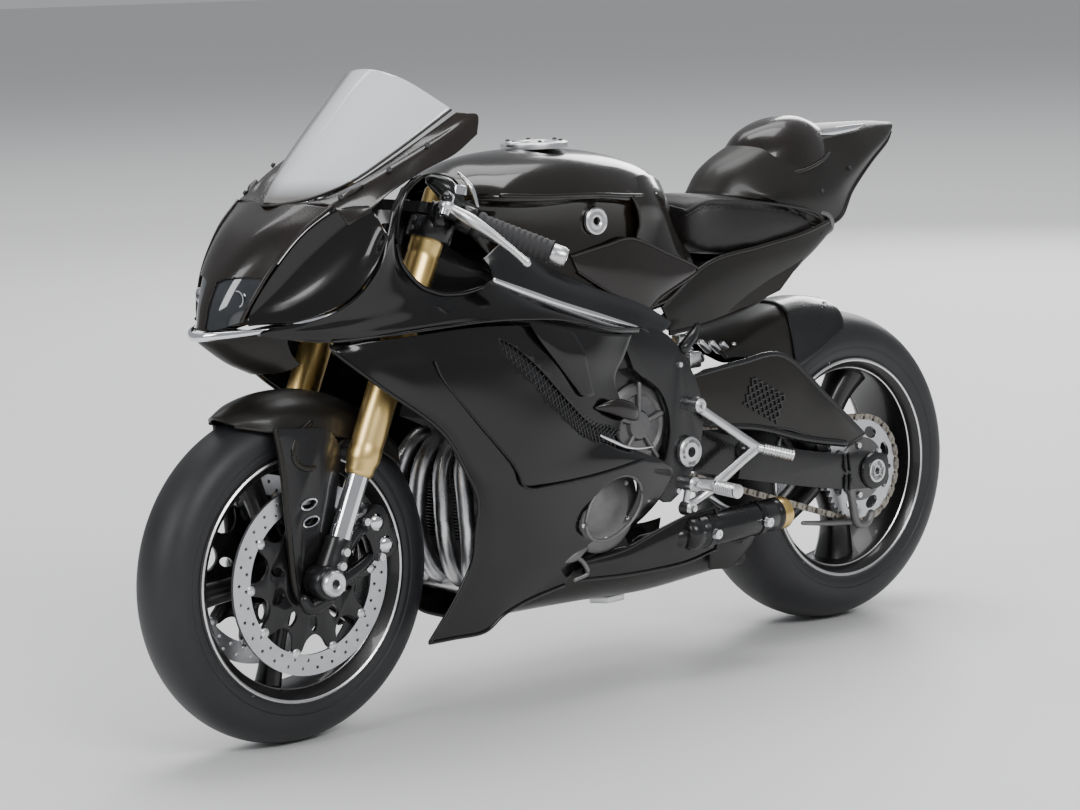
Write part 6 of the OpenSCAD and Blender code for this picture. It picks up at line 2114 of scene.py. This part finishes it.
# exhaust: headers, collector, canister and tip

canA = Vector((-22, 35.6, 54))
canB = Vector((-74, 37.6, 55.6))

exhaust = {
    "headers": [
        [(57.6, 14.4, 97), (64, 15, 97.4), (70.4, 17, 90), (72.4, 20.4, 76), (71.6, 20.6, 62), (68, 16.6, 51),
         (62, 13.6, 45.6)],
        [(57.6, 4.8, 97), (64, 5, 97), (70.8, 5.8, 88), (72.6, 7.4, 74), (71.8, 7.6, 62), (67.4, 6, 50.6),
         (62, 5, 45.6)],
    ],
    "headerRadius": 3.5,
}


def makeExhaust(spec):
    pipes = []
    for points in spec["headers"]:
        pipe = bar(points, spec["headerRadius"], k=8, sides=24)
        pipes += [pipe, mirrored(pipe)]
    pipes.append(bar([(61, -18, 45), (60.6, 0, 44.6), (61, 18, 45)], [4.2, 4.6, 4.2], k=6, sides=24))
    for side in (1, -1):
        for y in (14.6, 4.9):
            pipes.append(lathe([(3.2, 0), (4.2, 0.2), (4.2, 1.8), (3.2, 2)], (58.6, side * y, 97),
                               (1, 0, 0), 28))
    settle(shape("headerPipes", joined(*pipes)), "brightAlloy", "chassis", ["exhaust_headers"])
    way = (canB - canA).normalized()
    length = (canB - canA).length
    can = lathe([(0, -1), (3.6, -0.8), (5.4, 0), (6.4, 1.6), (6.4, 5), (6.1, 5.4), (6.1, 6), (6.4, 6.4),
                 (6.4, length - 8), (6.1, length - 7.6), (6.1, length - 6.6), (6.4, length - 6.2),
                 (6.4, length - 4.6), (6.0, length - 4), (0, length - 4)], canA, way, 56)
    canisterLink = bar([(-8, 27, 50.6), (-15, 30, 51.6), (-21, 34, 53.4)], [4.2, 4.4, 4.8], k=6, sides=24)
    settle(shape("canisterBody", joined(can, canisterLink)), "framePaint", "chassis", ["exhaust_canister"])
    tip = lathe([(4.2, length - 4.2), (6.1, length - 4.2), (6.3, length - 3.4), (6.3, length - 0.6),
                 (5.9, length + 0.2),
                 (5.1, length + 0.4), (4.6, length - 0.4), (4.2, length - 2.6)], canA, way, 48)
    settle(shape("canisterTip", tip), "goldAnodised", "chassis", ["exhaust_tip"])
    straps = []
    for s in (10, length - 15):
        straps.append(lathe([(6.3, s - 1.3), (6.75, s - 1.1), (6.75, s + 1.1), (6.3, s + 1.3)], canA, way,
                            48))
        p = canA + way * s
        screw("chassis", "polishedChrome", (p.x, p.y + 6.6, p.z - 0.6), (0, 1, -0.1), 1.9)
    settle(shape("canisterStraps", joined(*straps)), "framePaint", "chassis")


makeExhaust(exhaust)


# radiator: thin fins between two tanks

def makeFinTree():
    tree, given, result = startTree("radiatorFins", [
        ("Fin Width", "NodeSocketFloat", 40 * mm), ("Fin Depth", "NodeSocketFloat", 4 * mm),
        ("Fin Thickness", "NodeSocketFloat", 0.35 * mm), ("Material", "NodeSocketMaterial", None)])
    size = tree.nodes.new("ShaderNodeCombineXYZ")
    link(tree, given.outputs["Fin Depth"], size.inputs["X"])
    link(tree, given.outputs["Fin Width"], size.inputs["Y"])
    link(tree, given.outputs["Fin Thickness"], size.inputs["Z"])
    fin = tree.nodes.new("GeometryNodeMeshCube")
    link(tree, size.outputs[0], fin.inputs["Size"])
    return endTree(tree, given, result, aimedInstances(tree, given, fin.outputs["Mesh"]))


radiator = {"x": 64.6, "low": 61.6, "high": 87, "fins": 22, "width": 40, "depth": 4.6}


def makeRadiator(spec):
    rows = []
    for n in range(spec["fins"]):
        z = spec["low"] + (spec["high"] - spec["low"]) * n / (spec["fins"] - 1)
        rows.append(((spec["x"], 0, z), (0, 0, 1), 1.0))
    fins = grow("radiatorFins", makeFinTree(), {"Fin Width": spec["width"] * mm,
                                                "Fin Depth": spec["depth"] * mm,
                                                "Fin Thickness": 0.4 * mm, "Material": finish("castMetal")},
                pointCloud("finPoints", rows))
    settle(fins, "castMetal", "chassis", ["radiator"])
    frames = []
    for side in (1, -1):
        frames.append(bar([(spec["x"], side * 21.6, 60.6), (spec["x"], side * 22.2, 74),
                           (spec["x"], side * 21.6, 87.6)],
                          2.6, k=4, sides=20, up=(1, 0, 0)))
    for y in (-14, -7, 0, 7, 14):
        frames.append(bar([(63.2, y, 61), (63.2, y, 74), (63.2, y, 87.4)], 0.9, k=2, sides=10, up=(1, 0, 0)))
    settle(shape("radiatorTanks", joined(*frames)), "castMetal", "chassis")


makeRadiator(radiator)


# shock absorber

shockTop = Vector((-18, 0, 127))
shockLow = Vector((-58, 0, 103))
shock = {"coils": 6.5, "coilRadius": 5.6, "wire": 0.75, "from": 8.6, "gap": 6.8, "keep": 0.8}


def makeCoilTree():
    tree, given, result = startTree("shockCoil", [
        ("Turns", "NodeSocketFloat", 6.5), ("Coil Radius", "NodeSocketFloat", 5.6 * mm),
        ("Coil Length", "NodeSocketFloat", 30 * mm), ("Wire Radius", "NodeSocketFloat", 0.75 * mm),
        ("Material", "NodeSocketMaterial", None)])
    spiral = tree.nodes.new("GeometryNodeCurveSpiral")
    spiral.inputs["Resolution"].default_value = 28
    link(tree, given.outputs["Turns"], spiral.inputs["Rotations"])
    link(tree, given.outputs["Coil Radius"], spiral.inputs["Start Radius"])
    link(tree, given.outputs["Coil Radius"], spiral.inputs["End Radius"])
    link(tree, given.outputs["Coil Length"], spiral.inputs["Height"])
    ring = tree.nodes.new("GeometryNodeCurvePrimitiveCircle")
    ring.inputs["Resolution"].default_value = 10
    link(tree, given.outputs["Wire Radius"], ring.inputs["Radius"])
    sweep = tree.nodes.new("GeometryNodeCurveToMesh")
    sweep.inputs["Fill Caps"].default_value = True
    link(tree, spiral.outputs[0], sweep.inputs["Curve"])
    link(tree, ring.outputs[0], sweep.inputs["Profile Curve"])
    return endTree(tree, given, result, sweep.outputs["Mesh"])


def makeShock(spec):
    way = shockLow - shockTop
    length = way.length
    way.normalize()
    coilLength = length - spec["from"] - spec["gap"]
    coil = grow("shockCoil", makeCoilTree(), {"Turns": spec["coils"], "Coil Radius": spec["coilRadius"] * mm,
                                              "Coil Length": coilLength * mm,
                                              "Wire Radius": spec["wire"] * mm,
                                              "Material": finish("brightAlloy")})
    start = shockTop + way * spec["from"]
    turn = way.to_track_quat("Z", "Y").to_matrix().to_4x4()
    coil.data.transform(Matrix.Translation(start * mm) @ turn)
    settle(coil, "brightAlloy", "shock_upper", ["shock_spring"])
    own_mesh(coil)
    body = lathe([(0, 2.6), (3.4, 2.6), (4, 3.4), (4, 5.6), (6.6, 6), (6.8, 6.6), (6.6, 8), (4.2, 8.2),
                  (4, 9), (4, 24),
                  (3.2, 25), (0, 25)], shockTop, way, 40)
    eye = lathe([(1.55, -3), (3, -3), (3.5, -2.4), (3.5, 2.4), (3, 3), (1.55, 3)], shockTop, steps=32)
    settle(shape("shockBarrel", joined(body, eye)), "goldAnodised", "shock_upper", ["shock_body"])
    rod = lathe([(0, 14), (1.5, 14), (1.5, length - 6), (6.4, length - 5.6), (6.6, length - 5),
                 (6.4, length - 3.6),
                 (3, length - 3.2), (2.4, length - 2.6), (0, length - 2.6)], shockTop, way, 40)
    low = lathe([(1.65, -3), (3, -3), (3.5, -2.4), (3.5, 2.4), (3, 3), (1.65, 3)], shockLow, steps=32)
    settle(shape("shockShaft", joined(rod, low)), "polishedChrome", "shock_lower", ["shock_rod"])
    pot = lathe([(0, 0), (3.2, 0), (3.7, 0.6), (3.7, 9.4), (3.2, 10), (0, 10)], (-40, 12, 118),
                (-1, 0, 0.05), 32)
    arms = bar([(-38, 12, 117), (-30, 13, 119), (-22, 18, 124)], 1.6, k=5)
    pots = joined(pot, arms, bar([(-52, 12, 117.4), (-56, 12, 117), (-58, 11, 115)], 1.3, k=5))
    settle(shape("shockReservoir", pots), "polishedChrome", "chassis")
    blocks = shape("linkageBlocks", joined(box((-50, 14.6, 113.4), (-43.4, 19.4, 119.6)),
                                           box((-46, 13.4, 120.4), (-39, 18.2, 126.6))))
    settle(rounded(blocks, 0.9, 3), "brightAlloy", "chassis")
    for n in range(4):
        x = -53 - 6 * n
        rib = bar([(x, 15.6, 122.4 - 0.16 * 6 * n), (x - 4.6, 15.2, 118.8 - 0.16 * 6 * n)], 1.3, k=3,
                  sides=12)
        settle(shape("linkageRib%d" % n, rib), "brightAlloy", "swingarm")


makeShock(shock)
print("frame, exhaust and shock ready")


# inner gear: details on the battery, motor and aerial

def makeInnerGear():
    straps = []
    for x in (17, 39):
        straps.append(bar([(x, -15.9, 68.6), (x, -15.9, 95.4), (x, 0, 96.6), (x, 15.9, 95.4),
                           (x, 15.9, 68.6)], 0.6, k=1,
                          sides=8, flat=2.4))
    settle(shape("batteryStraps", joined(*straps)), "gripRubber", "chassis")
    leads = [bar([(2, y, 127), (-4, y * 1.1, 124), (-8, y * 1.2, 116), (-10, y, 108)], 0.9, k=6, sides=10)
             for y in (-6, 0, 6)]
    settle(shape("motorLeads", joined(*leads)), "redLens", "chassis")
    aerial = bar([(-26, 0, 166), (-34, 0, 168), (-42, 0, 166), (-46, 0, 160)], 0.6, k=6, sides=10)
    settle(shape("aerialTube", aerial), "darkPlastic", "chassis")


makeInnerGear()


# all the screws, one mesh for each body and finish

screwSize = {"Head Radius": 1.15 * mm, "Head Height": 0.9 * mm, "Socket Radius": 0.55 * mm}


def makeScrews():
    for (body, finishName), rows in sorted(screwSets.items()):
        name = "screws_" + body + "_" + finishName
        values = dict(screwSize, Material=finish(finishName))
        heads = grow(name, screwTree, values, pointCloud(name + "Points", rows))
        settle(heads, finishName, body, angle=30)


makeScrews()
print("screws ready")


# every node that keeps its CAD shape gets the finish of its slot

slotFinish = {
    "gloss_black": "fairingGloss", "tank_black": "tankGloss", "satin_black": "satinPlastic",
    "frame_black": "framePaint", "cast_grey": "castMetal", "gold_anodised": "goldAnodised",
    "polished": "polishedChrome", "bright_alloy": "brightAlloy", "disc_steel": "discSteel",
    "chain_steel": "chainSteel", "tyre": "tyreRubber", "rubber": "gripRubber", "screen": "screenTint",
    "lamp_lens": "lampGlass", "tail_lens": "redLens", "seat_vinyl": "seatVinyl",
    "battery_wrap": "batteryWrap",
    "dark_plastic": "darkPlastic", "brass": "turnedBrass", "white_plastic": "nylonWhite",
}


def paintNodes():
    for part in frame["record"]["subparts"]:
        node = nodes[part["node"]]
        node.data.materials.clear()
        node.data.materials.append(finish(slotFinish[part["material_slot"]]))


paintNodes()
